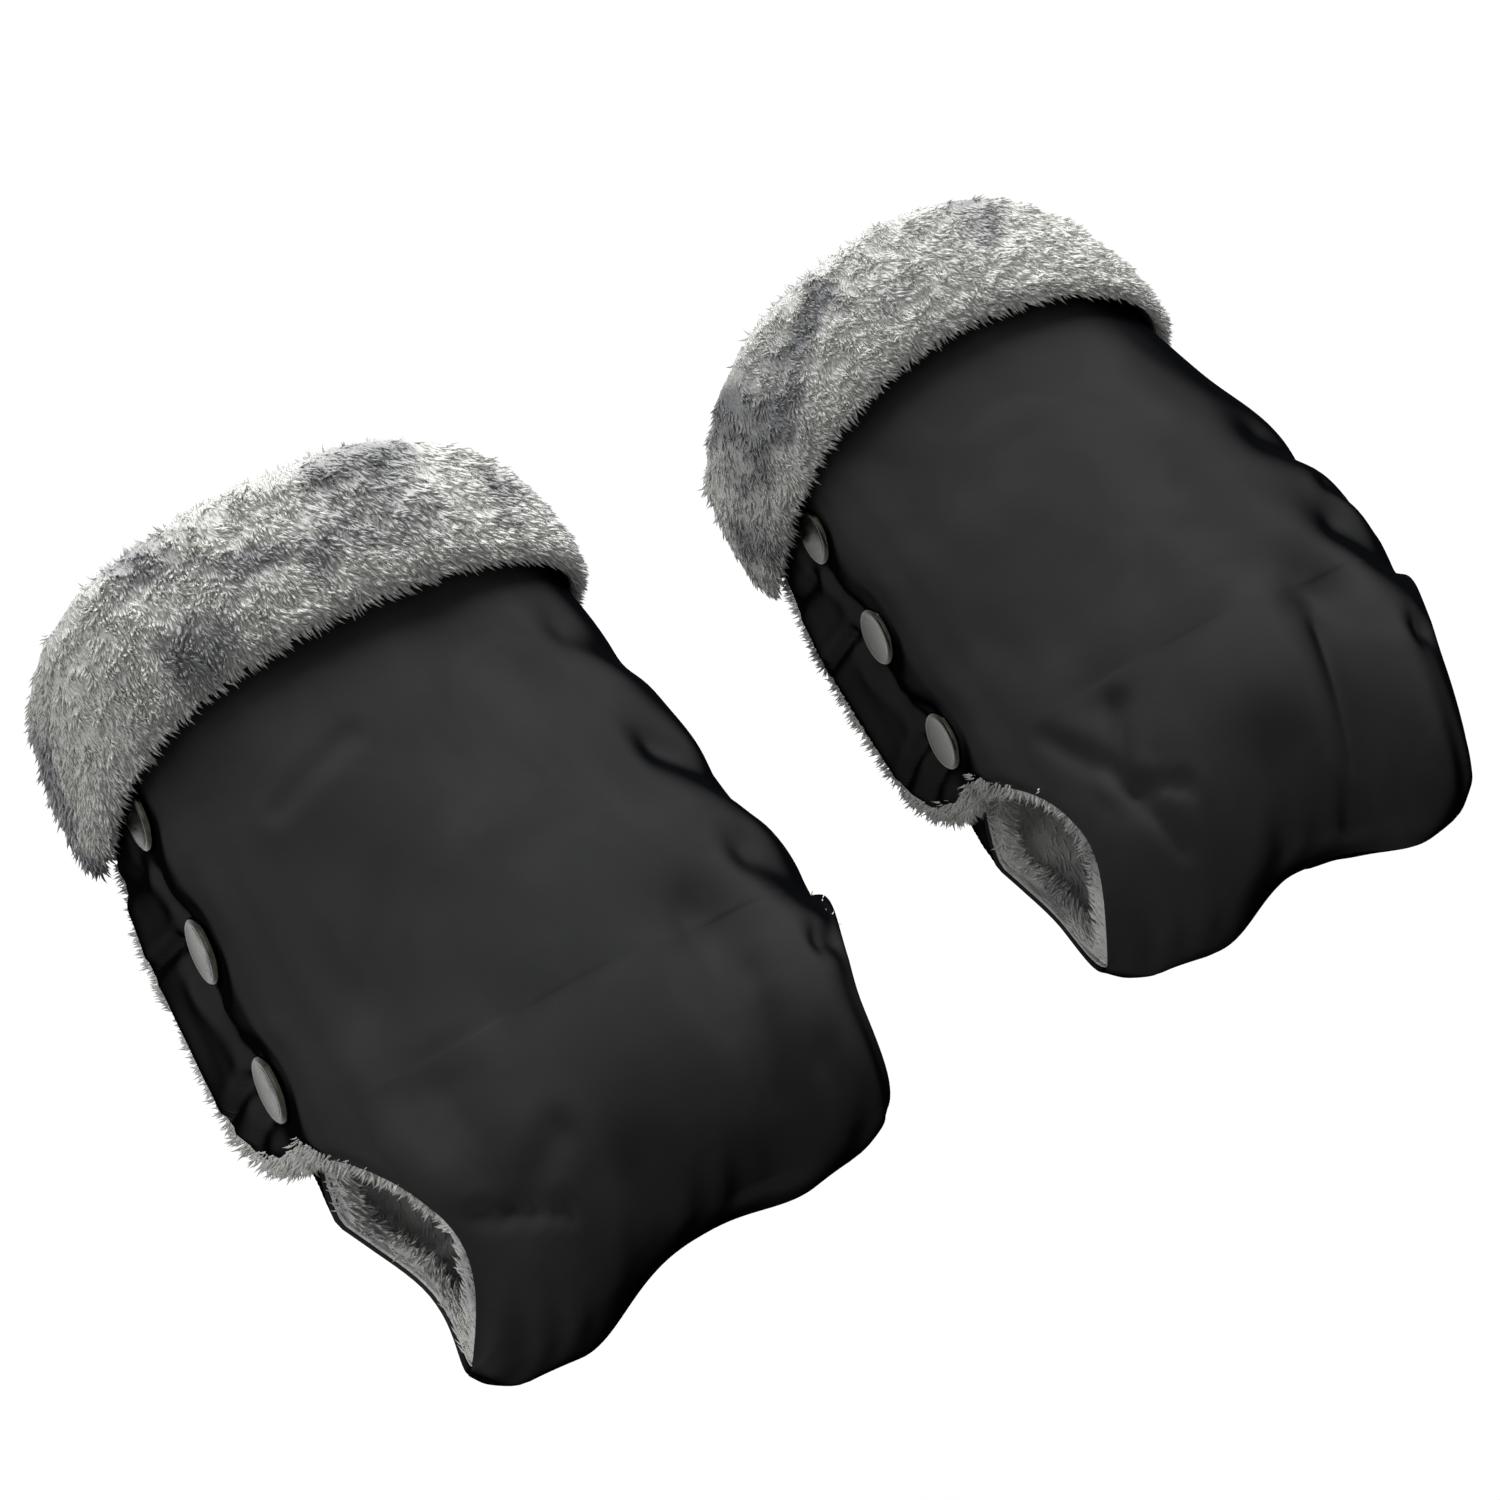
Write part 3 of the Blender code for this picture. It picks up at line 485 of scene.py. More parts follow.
def in_fringe(u, level):
    """Whether a place is at the bar's openings, where the lining's edge shows its pile."""
    return min(u, 1.0 - u) < FRINGE_EDGE and opening_angle(level) > 0.0


def layer_top(turn, radius, layer):
    top = round_the_mouth(turn, RIM) - radius - GAP
    return top if layer == "lining" else top - BACKING_RADIUS


def roll_radius(pad):
    return (lining_depth(pad) + PLUSH + CUFF_PROUD) / 2


# %% [markdown]
# The filling swells the cloth between its seams. Each panel is simulated once as a
# sheet: it is cut a little too large, held along its edges, and blown out from
# inside. Only how far each place moved out or in is kept, softened and without the
# bend that a whole row shares above the seam. It is at most a few millimetres, and
# all three layers of the panel then follow it together.
# %% Swelling the panels
SHEET_COLUMNS, SHEET_ROWS = 64, 64
SHEET_FRAMES = 20
SHEET_HELD, SHEET_HELD_ABOVE = 0.01, 0.86
SHEET_CLOTH = {
    "mass": 0.2, "quality": 6, "use_pressure": True, "uniform_pressure_force": 1.0,
    "shrink_min": -0.02, "shrink_max": -0.02, "tension_stiffness": 15.0,
    "compression_stiffness": 15.0, "bending_stiffness": 0.5,
}
SWELL_SHARE = 0.42
SWELL_SOFTENINGS = 6
MOST_SWELL = 0.0025


def lay_sheet(side, panel):
    """The panel's outer face as one open sheet, with its outward directions."""
    info = PANELS[panel]
    sheet = bmesh.new()
    made = bmesh.ops.create_grid(sheet, x_segments=SHEET_COLUMNS, y_segments=SHEET_ROWS,
                                 size=0.5)
    top_radius = roll_radius(WADDING)
    places, directions, held = [], [], []
    for vert in made["verts"]:
        u, v = vert.co.x + 0.5, vert.co.y + 0.5
        level = panel_level(v, layer_top(info["turn"](u, MOUTH_LEVEL), top_radius, "shell"))
        turn = info["turn"](u, level)
        places.append((round(u * SHEET_COLUMNS), round(v * SHEET_ROWS)))
        directions.append(outward(turn, level))
        held.append(min(u, 1.0 - u, v) < SHEET_HELD or v > SHEET_HELD_ABOVE)
        vert.co = muff_point(turn, level, 0.0, info["step"], 0.0)
    bmesh.ops.recalc_face_normals(sheet, faces=sheet.faces)
    sheet.normal_update()
    middle = len(places) // 2
    sheet.verts.ensure_lookup_table()
    if sheet.verts[middle].normal.dot(directions[middle]) < 0.0:
        bmesh.ops.reverse_faces(sheet, faces=sheet.faces)
    return finished_mesh(sheet, f"{side}_{panel}_sheet"), places, directions, held


def swell(side, panel):
    """How far each place of a panel moves out, from a short cloth simulation."""
    field = np.zeros((SHEET_ROWS + 1, SHEET_COLUMNS + 1))
    mesh, places, directions, held = lay_sheet(side, panel)
    blown = new_object(mesh.name, mesh)
    pins = blown.vertex_groups.new(name="held")
    pins.add([index for index, pinned in enumerate(held) if pinned], 1.0, "REPLACE")
    settings = blown.modifiers.new("cloth", "CLOTH").settings
    settings.vertex_group_mass = pins.name
    for setting, value in SHEET_CLOTH.items():
        setattr(settings, setting, value)
    settings.effector_weights.gravity = 0.0
    start = [vert.co.copy() for vert in mesh.vertices]
    for number in range(1, SHEET_FRAMES + 1):
        bpy.context.scene.frame_set(number)
    moved = blown.evaluated_get(bpy.context.evaluated_depsgraph_get()).data.vertices
    for (column, row), direction, before, after in zip(places, directions, start, moved):
        field[row, column] = SWELL_SHARE * (after.co - before).dot(direction)
    bpy.context.scene.frame_set(1)
    bpy.data.objects.remove(blown)
    field -= field.mean(axis=1, keepdims=True)
    for _ in range(SWELL_SOFTENINGS):
        field[1:-1, 1:-1] = (field[1:-1, 1:-1] + field[:-2, 1:-1] + field[2:, 1:-1]
                             + field[1:-1, :-2] + field[1:-1, 2:]) / 5
    field = np.clip(field, -MOST_SWELL, MOST_SWELL)
    print(f"{side} {panel} swells by {1000 * field.min():.1f} to {1000 * field.max():.1f} mm")
    return field


SWELLS = {(side, panel): swell(side, panel) for side in PLACES for panel in PANELS}


def swell_at(field, u, v):
    """The swelling between the four nearest places of the sheet."""
    across, along = u * SHEET_COLUMNS, v * SHEET_ROWS
    column, row = min(int(across), SHEET_COLUMNS - 1), min(int(along), SHEET_ROWS - 1)
    lower = blend(field[row, column], field[row, column + 1], across - column)
    upper = blend(field[row + 1, column], field[row + 1, column + 1], across - column)
    return blend(lower, upper, along - row)


# %% Faces of the panels
FRINGE_PULL = FRINGE + 0.0030
FRINGE_PILE = 4.0


def panel_face(side, panel, layer, inner):
    """One face of a panel's shell, wadding or lining."""
    info = PANELS[panel]
    folds = FRONT_FOLDS[side] if panel == "front" else BACK_FOLDS
    seed = {"left": 1.0, "right": 4.0}[side] + (0.0 if panel == "front" else 20.0)

    def place_at(u, v):
        mouth_turn = info["turn"](u, MOUTH_LEVEL)
        top = layer_top(mouth_turn, roll_radius(pad_thickness(u, MOUTH_LEVEL)), layer)
        level = panel_level(v, top)
        turn = info["turn"](u, level)
        pad = pad_thickness(u, level)
        depth = {"shell": 0.0, "wadding": SHELL + GAP, "lining": lining_depth(pad)}[layer]
        if inner:
            depth += {"shell": SHELL, "wadding": pad, "lining": PLUSH}[layer]
        point = muff_point(turn, level, depth, info["step"], info["lift"])
        on_shell = muff_point(turn, level, 0.0, info["step"], info["lift"])
        relief = fold_relief(on_shell.x, on_shell.y, folds)
        relief += loft(on_shell.x, on_shell.y, seed)
        relief += seam_gathers(on_shell.x, on_shell.y, turn)
        relief += swell_at(SWELLS[side, panel], u, v)
        point += outward(turn, level) * relief * edge_hold(u, level, top)
        nap, density = Vector((0.0, 1.0, 0.0)), 1.0 if inner else 0.0
        if layer == "lining" and in_fringe(u, level):
            towards = (Vector((point.x, OPENING_CENTRE, 0.0)) - point).normalized()
            if u in (0.0, 1.0):
                point += towards * FRINGE_PULL
            nap, density = towards, FRINGE_PILE
        return point, nap, density

    return place_at


# %% [markdown]
# The cuff is the same plush as the lining, carried over the rim in a fat roll and
# down the outside. Its path starts inside the mouth, goes over the roll and ends at
# the hem. The turned end of the nylon lies behind it and shows as a dark edge.
# %% Paths of the turned-back cuff
CUFF_ROLL, BACKING_ROLL = 0.35, 0.25
CUFF_PLUMP, CUFF_LUMPS = 0.0022, 0.0022
ROLL_TOP = 0.17


def over_the_rim(v, arc_share, base, centre, radius, hem, face_depth):
    """Level and depth at a share of the way over the roll and down to the hem."""
    if v < arc_share:
        angle = math.pi * v / arc_share
        return base + radius * math.sin(angle), centre + radius * math.cos(angle)
    return blend(base, hem, (v - arc_share) / (1.0 - arc_share)), face_depth


def cuff_place(turn, pad_depth, v, inner):
    """Level and depth of the cuff's plush, plumper in the middle of its fall."""
    radius = (pad_depth + CUFF_PROUD) / 2
    base = round_the_mouth(turn, RIM) - radius
    hem = round_the_mouth(turn, RIM) - round_the_mouth(turn, CUFF_LENGTH)
    centre = pad_depth - radius
    if inner:
        return over_the_rim(v, CUFF_ROLL, base, centre, radius - PLUSH, hem,
                            PLUSH - CUFF_PROUD)
    level, depth = over_the_rim(v, CUFF_ROLL, base, centre, radius, hem, -CUFF_PROUD)
    fall = max((v - CUFF_ROLL) / (1.0 - CUFF_ROLL), 0.0)
    depth -= CUFF_PLUMP * math.sin(math.pi * fall)
    return level, depth + CUFF_PLUMP * smooth_share((fall - 0.9) / 0.1)


def backing_place(turn, pad_depth, v, inner):
    """Level and depth of the nylon that is turned back behind the cuff."""
    radius = (pad_depth + CUFF_PROUD) / 2
    base = round_the_mouth(turn, RIM) - radius - BACKING_RADIUS
    hem = round_the_mouth(turn, RIM) - round_the_mouth(turn, CUFF_LENGTH) + 0.001
    face = -CUFF_STANDOFF if inner else -CUFF_STANDOFF - SHELL
    own = BACKING_RADIUS - (SHELL if inner else 0.0)
    return over_the_rim(v, BACKING_ROLL, base, SHELL - BACKING_RADIUS, own, hem, face)


def plush_lumps(point, seed):
    """The cuff's own unevenness, as the cloth under the pile is soft."""
    where = Vector((30 * point.x, 30 * point.y, 30 * point.z + seed))
    return CUFF_LUMPS * noise.noise(where)


def cuff_face(side, panel, path_at, inner):
    """One face of a cuff layer along the front or back panel."""
    info = PANELS[panel]
    seed = {"left": 2.0, "right": 9.0}[side]
    skipped = 0.0 if panel == "front" else 1 / 3

    def place_at(u, v):
        share = blend(skipped, 1.0, u)
        turn = info["turn"](share, MOUTH_LEVEL)
        pad = pad_thickness((share - skipped / 2) / (1 - skipped / 2), MOUTH_LEVEL)
        level, depth = path_at(turn, lining_depth(pad) + PLUSH, v, inner)
        point = muff_point(turn, level, depth, info["step"], info["lift"])
        if path_at is cuff_place and not inner:
            point += outward(turn, MOUTH_LEVEL) * plush_lumps(point, seed) * min(1.0, 4 * v)
        nap = Vector((0.25 * math.sin(5 * u), 1.0 if v < ROLL_TOP else -1.0, 0.0))
        return point, nap.normalized(), 0.0 if inner else 1.0

    return place_at


# %% [markdown]
# The flap is the left part of the front panel. It comes round the shoulder, turns
# down over the flat face that carries the snaps, and ends in a free edge with a
# fringe of plush. Its lower edge follows the opening for the bar.
# %% The flap's surface
FLAP_ARC = 0.4
FLAP_ROUNDING = 0.05
FLAP_FLARE = 0.0060
FLAP_PILLOW, FLAP_SOFTNESS = 0.0020, 0.0008
FLAP_FRINGE_PILE = 2.2
FLAP_FOLDS = [
    ((-0.003, 0.0555), (-0.030, 0.0520), 0.0022, 0.0024),
    ((-0.004, 0.1000), (-0.032, 0.1030), 0.0022, 0.0026),
    ((0.004, 0.1180), (0.008, 0.1000), 0.0026, 0.0018),
    ((-0.002, 0.0840), (0.004, 0.0600), 0.0030, 0.0022),
    ((0.000, 0.0450), (-0.018, 0.0400), 0.0026, 0.0018),
    ((-0.006, 0.1240), (-0.030, 0.1290), 0.0028, 0.0020),
    ((0.006, 0.0700), (0.012, 0.0560), 0.0028, 0.0016),
]


def crease_angle(level):
    reach = flap_face(level) / section_width(math.pi, level, 0.0)
    return math.acos(min(reach, 1.0) ** (1.0 / SECTION_POWER))


def crease_rise(level):
    angle = math.pi - crease_angle(level)
    return section_rise(angle, level, 0.0) * squared_off(math.sin(angle))


def sharp_flap_point(u, level, depth, drop):
    if u < FLAP_ARC:
        angle = blend(OPENING_ANGLE, crease_angle(level), u / FLAP_ARC)
        return muff_point(math.pi - angle, level, depth, no_step, GAP / 2)
    rise = blend(crease_rise(level), -drop, (u - FLAP_ARC) / (1.0 - FLAP_ARC))
    return Vector((depth - flap_face(level), level, rise))


def flap_point(u, level, depth, drop):
    """A point of the flap, with the edge of its flat face rounded off."""
    reach = FLAP_ROUNDING * smooth_share(min(u, 1.0 - u) / 0.1)
    around = [sharp_flap_point(u + share * reach, level, depth, drop)
              for share in (-1, -0.5, 0, 0.5, 1)]
    point = sum(around, Vector((0.0, 0.0, 0.0))) / len(around)
    below = smooth_share((SNAP_RISE - 0.006 - point.z) / 0.034)
    point.x -= FLAP_FLARE * below * smooth_share((0.150 - level) / 0.045)
    return point


def flap_bottom(u, fringe):
    """The level of the flap's lower edge, which bounds the bar's opening."""
    half_length = OPENING_HALF_LENGTH - fringe
    if u < FLAP_ARC:
        angle = blend(OPENING_ANGLE, crease_angle(OPENING_TOP), u / FLAP_ARC)
    else:
        drop = FLAP_DROP + fringe
        rise = blend(crease_rise(OPENING_TOP), -drop, (u - FLAP_ARC) / (1.0 - FLAP_ARC))
        if rise <= 0.0:
            corner = 1.0 - math.sqrt(max(1.0 - (rise / drop) ** 2, 0.0))
            return OPENING_TOP - fringe + FLAP_CORNER * corner
        angle = angle_at_rise(rise)
    place = min(angle / OPENING_ANGLE, 1.0)
    return OPENING_CENTRE + half_length * math.sqrt(1.0 - place * place)


def flap_turn(u):
    return math.pi - blend(OPENING_ANGLE, 0.0, min(u / FLAP_ARC, 1.0))


def flap_relief(point):
    """Pillows between the snaps, which hold the cloth down, and its puckers."""
    nearest = min(math.hypot(point.z - SNAP_RISE, point.y - level) for level in SNAP_LEVELS)
    pillow = FLAP_PILLOW * smooth_share((nearest - CAP_DIAMETER / 2) / 0.010)
    soft = FLAP_SOFTNESS * noise.noise(Vector((70 * point.z, 60 * point.y, 5.0)))
    return pillow + soft + fold_relief(point.z, point.y, FLAP_FOLDS)


def flap_face_at(layer, inner):
    """One face of the flap's shell or lining."""
    fringe = FRINGE if layer == "lining" else 0.0
    depth = {"shell": 0.0, "lining": SHELL + GAP}[layer]
    if inner:
        depth += {"shell": SHELL, "lining": PLUSH}[layer]

    def place_at(u, v):
        top = layer_top(flap_turn(u), (FLAP_DEPTH + CUFF_PROUD) / 2, layer)
        level = blend(flap_bottom(u, fringe), top, v)
        point = flap_point(u, level, depth, FLAP_DROP + fringe)
        held = smooth_share(u / 0.25) * smooth_share(v / 0.04) * smooth_share((1.0 - u) / 0.08)
        point.x -= flap_relief(point) * held * smooth_share((top - level) / 0.02)
        nap, density = Vector((0.0, 0.2, -1.0)), 1.0 if inner else 0.0
        if layer == "lining" and (u > 0.95 or v < 0.04):
            nap = Vector((-0.3, -0.5 if v < 0.04 else 0.0, -1.0))
            density = FLAP_FRINGE_PILE
        return point, nap.normalized(), density

    return place_at


def flap_cuff_face(path_at, fringe, inner):
    """One face of the flap's part of the cuff."""
    def place_at(u, v):
        turn = flap_turn(u)
        level, depth = path_at(turn, FLAP_DEPTH, v, inner)
        point = flap_point(u, level, depth, FLAP_DROP + fringe)
        if path_at is cuff_place and not inner:
            point.x -= plush_lumps(point, 5.0) * min(1.0, 4 * v)
        return point, Vector((0.0, -1.0, -0.4 * u)).normalized(), 0.0 if inner else 1.0

    return place_at


# %% [markdown]
# Three finishes and a metal. Their nodes are added by one function, which gives each
# input a plain value or the output of another node. Mottling is a shared effect: a
# soft noise that moves the colour of every cloth and of the metal, and the roughness
# of the nylon and the metal, so no surface is one flat tone.
# %% Nodes and shared mottling
FLOAT, GEOMETRY = "NodeSocketFloat", "NodeSocketGeometry"


def set_inputs(tree, node, inputs):
    for name, value in inputs.items():
        if isinstance(value, bpy.types.NodeSocket):
            tree.links.new(value, node.inputs[name])
        else:
            node.inputs[name].default_value = value


def add_node(tree, kind, inputs, **settings):
    """The outputs of a new node, with its inputs and settings."""
    node = tree.nodes.new(kind)
    for name, value in settings.items():
        setattr(node, name, value)
    set_inputs(tree, node, inputs)
    return node.outputs


def new_group(name, kind, inputs, output):
    """A node group with its named sockets, and what comes in."""
    group = bpy.data.node_groups.new(name, kind)
    for socket, socket_type in inputs.items():
        group.interface.new_socket(socket, in_out="INPUT", socket_type=socket_type)
    for socket, socket_type in output.items():
        group.interface.new_socket(socket, in_out="OUTPUT", socket_type=socket_type)
    return group, add_node(group, "NodeGroupInput", {})


def mottling_group():
    group, entry = new_group("mottling", "ShaderNodeTree",
                             {"Scale": FLOAT, "Low": FLOAT, "High": FLOAT}, {"Mask": FLOAT})
    where = add_node(group, "ShaderNodeTexCoord", {})["Object"]
    soft = add_node(group, "ShaderNodeTexNoise", {
        "Vector": where, "Scale": entry["Scale"], "Detail": 3.0, "Distortion": 0.6})["Fac"]
    spread = add_node(group, "ShaderNodeMapRange", {
        "Value": soft, "From Min": entry["Low"], "From Max": entry["High"]},
        interpolation_type="SMOOTHSTEP")["Result"]
    add_node(group, "NodeGroupOutput", {"Mask": spread})
    return group


MOTTLING = mottling_group()


def new_material(name):
    material = bpy.data.materials.new(name)
    material.use_nodes = True
    MATERIALS[name] = material
    return material.node_tree


def set_shader(tree, inputs):
    set_inputs(tree, tree.nodes["Principled BSDF"], inputs)


def add_mottling(tree, scale, low, high):
    return add_node(tree, "ShaderNodeGroup", {"Scale": scale, "Low": low, "High": high},
                    node_tree=MOTTLING)["Mask"]


def add_mix(tree, mask, first, second, blend_type="MIX"):
    """A mix of two colours, each of them plain or the output of another node."""
    inputs = {"Factor": mask}
    for name, colour in (("A", first), ("B", second)):
        inputs[name] = (*colour, 1.0) if isinstance(colour, tuple) else colour
    return add_node(tree, "ShaderNodeMix", inputs, data_type="RGBA",
                    blend_type=blend_type)["Result"]


def add_range(tree, mask, low, high):
    return add_node(tree, "ShaderNodeMapRange",
                    {"Value": mask, "To Min": low, "To Max": high})["Result"]


# %% [markdown]
# The nylon is a fine plain weave and matt. Where it turns away from the eye its
# colour is painted nearly black, as painted shade for the light falling off at its
# sides. Its two sets of threads are bands across the cloth's own UV map, which is
# in metres.
# %% Black nylon
def make_nylon():
    tree = new_material("black_nylon")
    mask = add_mottling(tree, 28.0, 0.35, 0.7)
    flat_on = add_mix(tree, mask, (0.0370, 0.0375, 0.0380), (0.0450, 0.0455, 0.0450))
    # Painted shade: the base colour darkens to nearly black where the cloth turns away from the eye.
    facing = add_node(tree, "ShaderNodeLayerWeight", {})["Facing"]
    painted_grazing_shade = add_node(tree, "ShaderNodeMapRange",
                           {"Value": facing, "From Min": 0.30, "From Max": 0.72},
                           interpolation_type="SMOOTHSTEP")["Result"]
    cloth = add_node(tree, "ShaderNodeUVMap", {}, uv_map="cloth")["UV"]
    threads = [add_node(tree, "ShaderNodeTexWave", {"Scale": 620.0, "Vector": cloth},
                        bands_direction=direction)["Fac"] for direction in ("X", "Y")]
    weave = add_node(tree, "ShaderNodeMath", dict(enumerate(threads)), operation="MAXIMUM")
    fine = add_node(tree, "ShaderNodeBump", {
        "Strength": 0.25, "Distance": 0.00006, "Height": weave["Value"]})
    where = add_node(tree, "ShaderNodeTexCoord", {})["Object"]
    crumple = add_node(tree, "ShaderNodeTexNoise",
                       {"Scale": 75.0, "Detail": 4.0, "Vector": where})
    soft = add_node(tree, "ShaderNodeBump", {
        "Strength": 0.35, "Distance": 0.0006, "Height": crumple["Fac"],
        "Normal": fine["Normal"]})
    set_shader(tree, {
        "Base Color": add_mix(tree, painted_grazing_shade, flat_on, (0.0030, 0.0032, 0.0040)),
        "Roughness": add_range(tree, mask, 0.40, 0.48),
        "Specular IOR Level": 0.0, "Normal": soft["Normal"]})


# %% [markdown]
# The plush is light grey with darker patches, laid out by a soft noise.
# Every tuft carries a tip attribute, by which its root is painted darker, as painted
# shade deep in the pile, and a random tone of its own.
# %% Grey plush
def make_plush():
    tree = new_material("grey_plush")
    patches = add_mottling(tree, 26.0, 0.47, 0.66)
    tone = add_mix(tree, patches, (0.945, 0.940, 0.905), (0.440, 0.445, 0.455))
    tip, shade = [add_node(tree, "ShaderNodeAttribute", {}, attribute_name=name)["Fac"]
                  for name in ("tip", "shade")]
    # Painted shade: the root of every tuft is painted a tenth darker than its tip.
    painted_root_shade = add_mix(tree, tip, (0.90, 0.90, 0.90), (1.0, 1.0, 1.0))
    varied = add_mix(tree, shade, (0.92, 0.92, 0.93), (1.06, 1.06, 1.05))
    root_shaded_tone = add_mix(tree, 1.0, tone, painted_root_shade, "MULTIPLY")
    set_shader(tree, {
        "Base Color": add_mix(tree, 1.0, root_shaded_tone, varied, "MULTIPLY"), "Roughness": 0.85,
        "Specular IOR Level": 0.25, "Sheen Weight": 0.25, "Sheen Roughness": 0.5})


# %% Wadding and nickel
def make_wadding():
    tree = new_material("white_wadding")
    mask = add_mottling(tree, 240.0, 0.3, 0.7)
    bump = add_node(tree, "ShaderNodeBump", {"Distance": 0.0008, "Height": mask})
    set_shader(tree, {
        "Base Color": add_mix(tree, mask, (0.66, 0.66, 0.64), (0.82, 0.82, 0.80)),
        "Roughness": 0.95, "Normal": bump["Normal"]})


def make_nickel():
    tree = new_material("dark_nickel")
    mask = add_mottling(tree, 420.0, 0.3, 0.75)
    set_shader(tree, {
        "Base Color": add_mix(tree, mask, (0.024, 0.0235, 0.019), (0.040, 0.039, 0.032)),
        "Roughness": add_range(tree, mask, 0.14, 0.24), "Metallic": 1.0})


make_nylon()
make_plush()
make_wadding()
make_nickel()
print("finishes:", ", ".join(MATERIALS))

# %% [markdown]
# Plush is thousands of small tufts. One tuft is a three-sided cone, cut across and
# bowed, and geometry nodes plant copies of it on the cloth: evenly spread, leaning
# with the nap, and stirred by a noise so that neighbours part and clump. The result
# is made a plain mesh, because it has to bend with the flap.
# %% One tuft
TUFT_LENGTH, TUFT_RADIUS = 0.0034, 0.00044
TUFT_BELLY, TUFT_BOW = 1.5, 0.3


def make_tuft():
    builder = bmesh.new()
    bmesh.ops.create_cone(builder, cap_ends=False, segments=3, radius1=TUFT_RADIUS,
                          radius2=0.0, depth=TUFT_LENGTH)
    middle = (0.0, 0.0, TUFT_LENGTH / 2)
    bmesh.ops.translate(builder, verts=builder.verts, vec=middle)
    whole = builder.verts[:] + builder.edges[:] + builder.faces[:]
    bmesh.ops.bisect_plane(builder, geom=whole, plane_co=middle, plane_no=(0.0, 0.0, 1.0))
    bmesh.ops.remove_doubles(builder, verts=builder.verts, dist=TUFT_RADIUS / 100)
    tip = builder.verts.layers.float.new("tip")
    for vert in builder.verts:
        share = vert.co.z / TUFT_LENGTH
        vert[tip] = share
        if 0.2 < share < 0.8:
            vert.co.x *= TUFT_BELLY
            vert.co.y *= TUFT_BELLY
        vert.co.x += TUFT_BOW * TUFT_LENGTH * share * share
    bmesh.ops.recalc_face_normals(builder, faces=builder.faces)
    mesh = finished_mesh(builder, "tuft", MATERIALS["grey_plush"])
    return bpy.data.objects.new("tuft", mesh)


TUFT = make_tuft()
print("faces in a tuft:", len(TUFT.data.polygons))

# %% Planting the tufts
NAP_PULL, OUTWARD_PULL, STIRRING = 0.95, 0.36, 2.0
STIR_SCALE = 170.0
JITTER = 0.28
LEAST_SIZE, MOST_SIZE = 0.7, 1.35


def pile_group():
    group, entry = new_group(
        "plush_pile", "GeometryNodeTree",
        {"Geometry": GEOMETRY, "Density": FLOAT, "Seed": "NodeSocketInt"},
        {"Geometry": GEOMETRY})

    def attribute(name, kind):
        return add_node(group, "GeometryNodeInputNamedAttribute", {"Name": name},
                        data_type=kind)["Attribute"]

    def vector_math(operation, inputs):
        return add_node(group, "ShaderNodeVectorMath", inputs, operation=operation)["Vector"]

    def scaled(vector, scale):
        return vector_math("SCALE", {0: vector, "Scale": scale})

    def total(first, second):
        return vector_math("ADD", {0: first, 1: second})

    density = add_node(group, "ShaderNodeMath", {
        0: attribute("pile", "FLOAT"), 1: entry["Density"]}, operation="MULTIPLY")["Value"]
    scatter = add_node(group, "GeometryNodeDistributePointsOnFaces", {
        "Mesh": entry["Geometry"], "Density": density, "Seed": entry["Seed"]},
        distribute_method="RANDOM")
    stir = add_node(group, "ShaderNodeTexNoise", {"Scale": STIR_SCALE, "Detail": 1.0})["Color"]
    stir = vector_math("SUBTRACT", {0: stir, 1: (0.5, 0.5, 0.5)})
    jitter = add_node(group, "FunctionNodeRandomValue", {0: (-JITTER,) * 3, 1: (JITTER,) * 3},
                      data_type="FLOAT_VECTOR")["Value"]
    lean = total(scaled(attribute("nap", "FLOAT_VECTOR"), NAP_PULL),
                 scaled(scatter["Normal"], OUTWARD_PULL))
    aim = total(total(lean, scaled(stir, STIRRING)), jitter)
    turn = add_node(group, "FunctionNodeAlignRotationToVector", {"Vector": aim}, axis="Z")
    size = add_node(group, "FunctionNodeRandomValue", {2: LEAST_SIZE, 3: MOST_SIZE},
                    data_type="FLOAT")
    tuft = add_node(group, "GeometryNodeObjectInfo", {"Object": TUFT})
    planted = add_node(group, "GeometryNodeInstanceOnPoints", {
        "Points": scatter["Points"], "Instance": tuft["Geometry"],
        "Rotation": turn["Rotation"], "Scale": size[1]})
    shade = add_node(group, "FunctionNodeRandomValue", {"Seed": 3}, data_type="FLOAT")
    shaded = add_node(group, "GeometryNodeStoreNamedAttribute", {
        "Name": "shade", "Geometry": planted["Instances"], "Value": shade[1]},
        data_type="FLOAT", domain="INSTANCE")
    tufts = add_node(group, "GeometryNodeRealizeInstances", {"Geometry": shaded["Geometry"]})
    both = group.nodes.new("GeometryNodeJoinGeometry")
    for part in (entry["Geometry"], tufts["Geometry"]):
        group.links.new(part, both.inputs["Geometry"])
    add_node(group, "NodeGroupOutput", {"Geometry": both.outputs["Geometry"]})
    return group


PILE = pile_group()


def grow_pile(piece, density, seed):
    """Plant tufts on a plush piece and keep the result as a plain mesh."""
    growth = piece.modifiers.new("pile", "NODES")
    growth.node_group = PILE
    chosen = {"Density": density, "Seed": seed}
    for item in PILE.interface.items_tree:
        if item.in_out == "INPUT" and item.name in chosen:
            growth[item.identifier] = chosen[item.name]
    graph = bpy.context.evaluated_depsgraph_get()
    grown = bpy.data.meshes.new_from_object(piece.evaluated_get(graph), depsgraph=graph,
                                            preserve_all_data_layers=True)
    piece.modifiers.clear()
    piece.data = grown
    return len(grown.polygons)


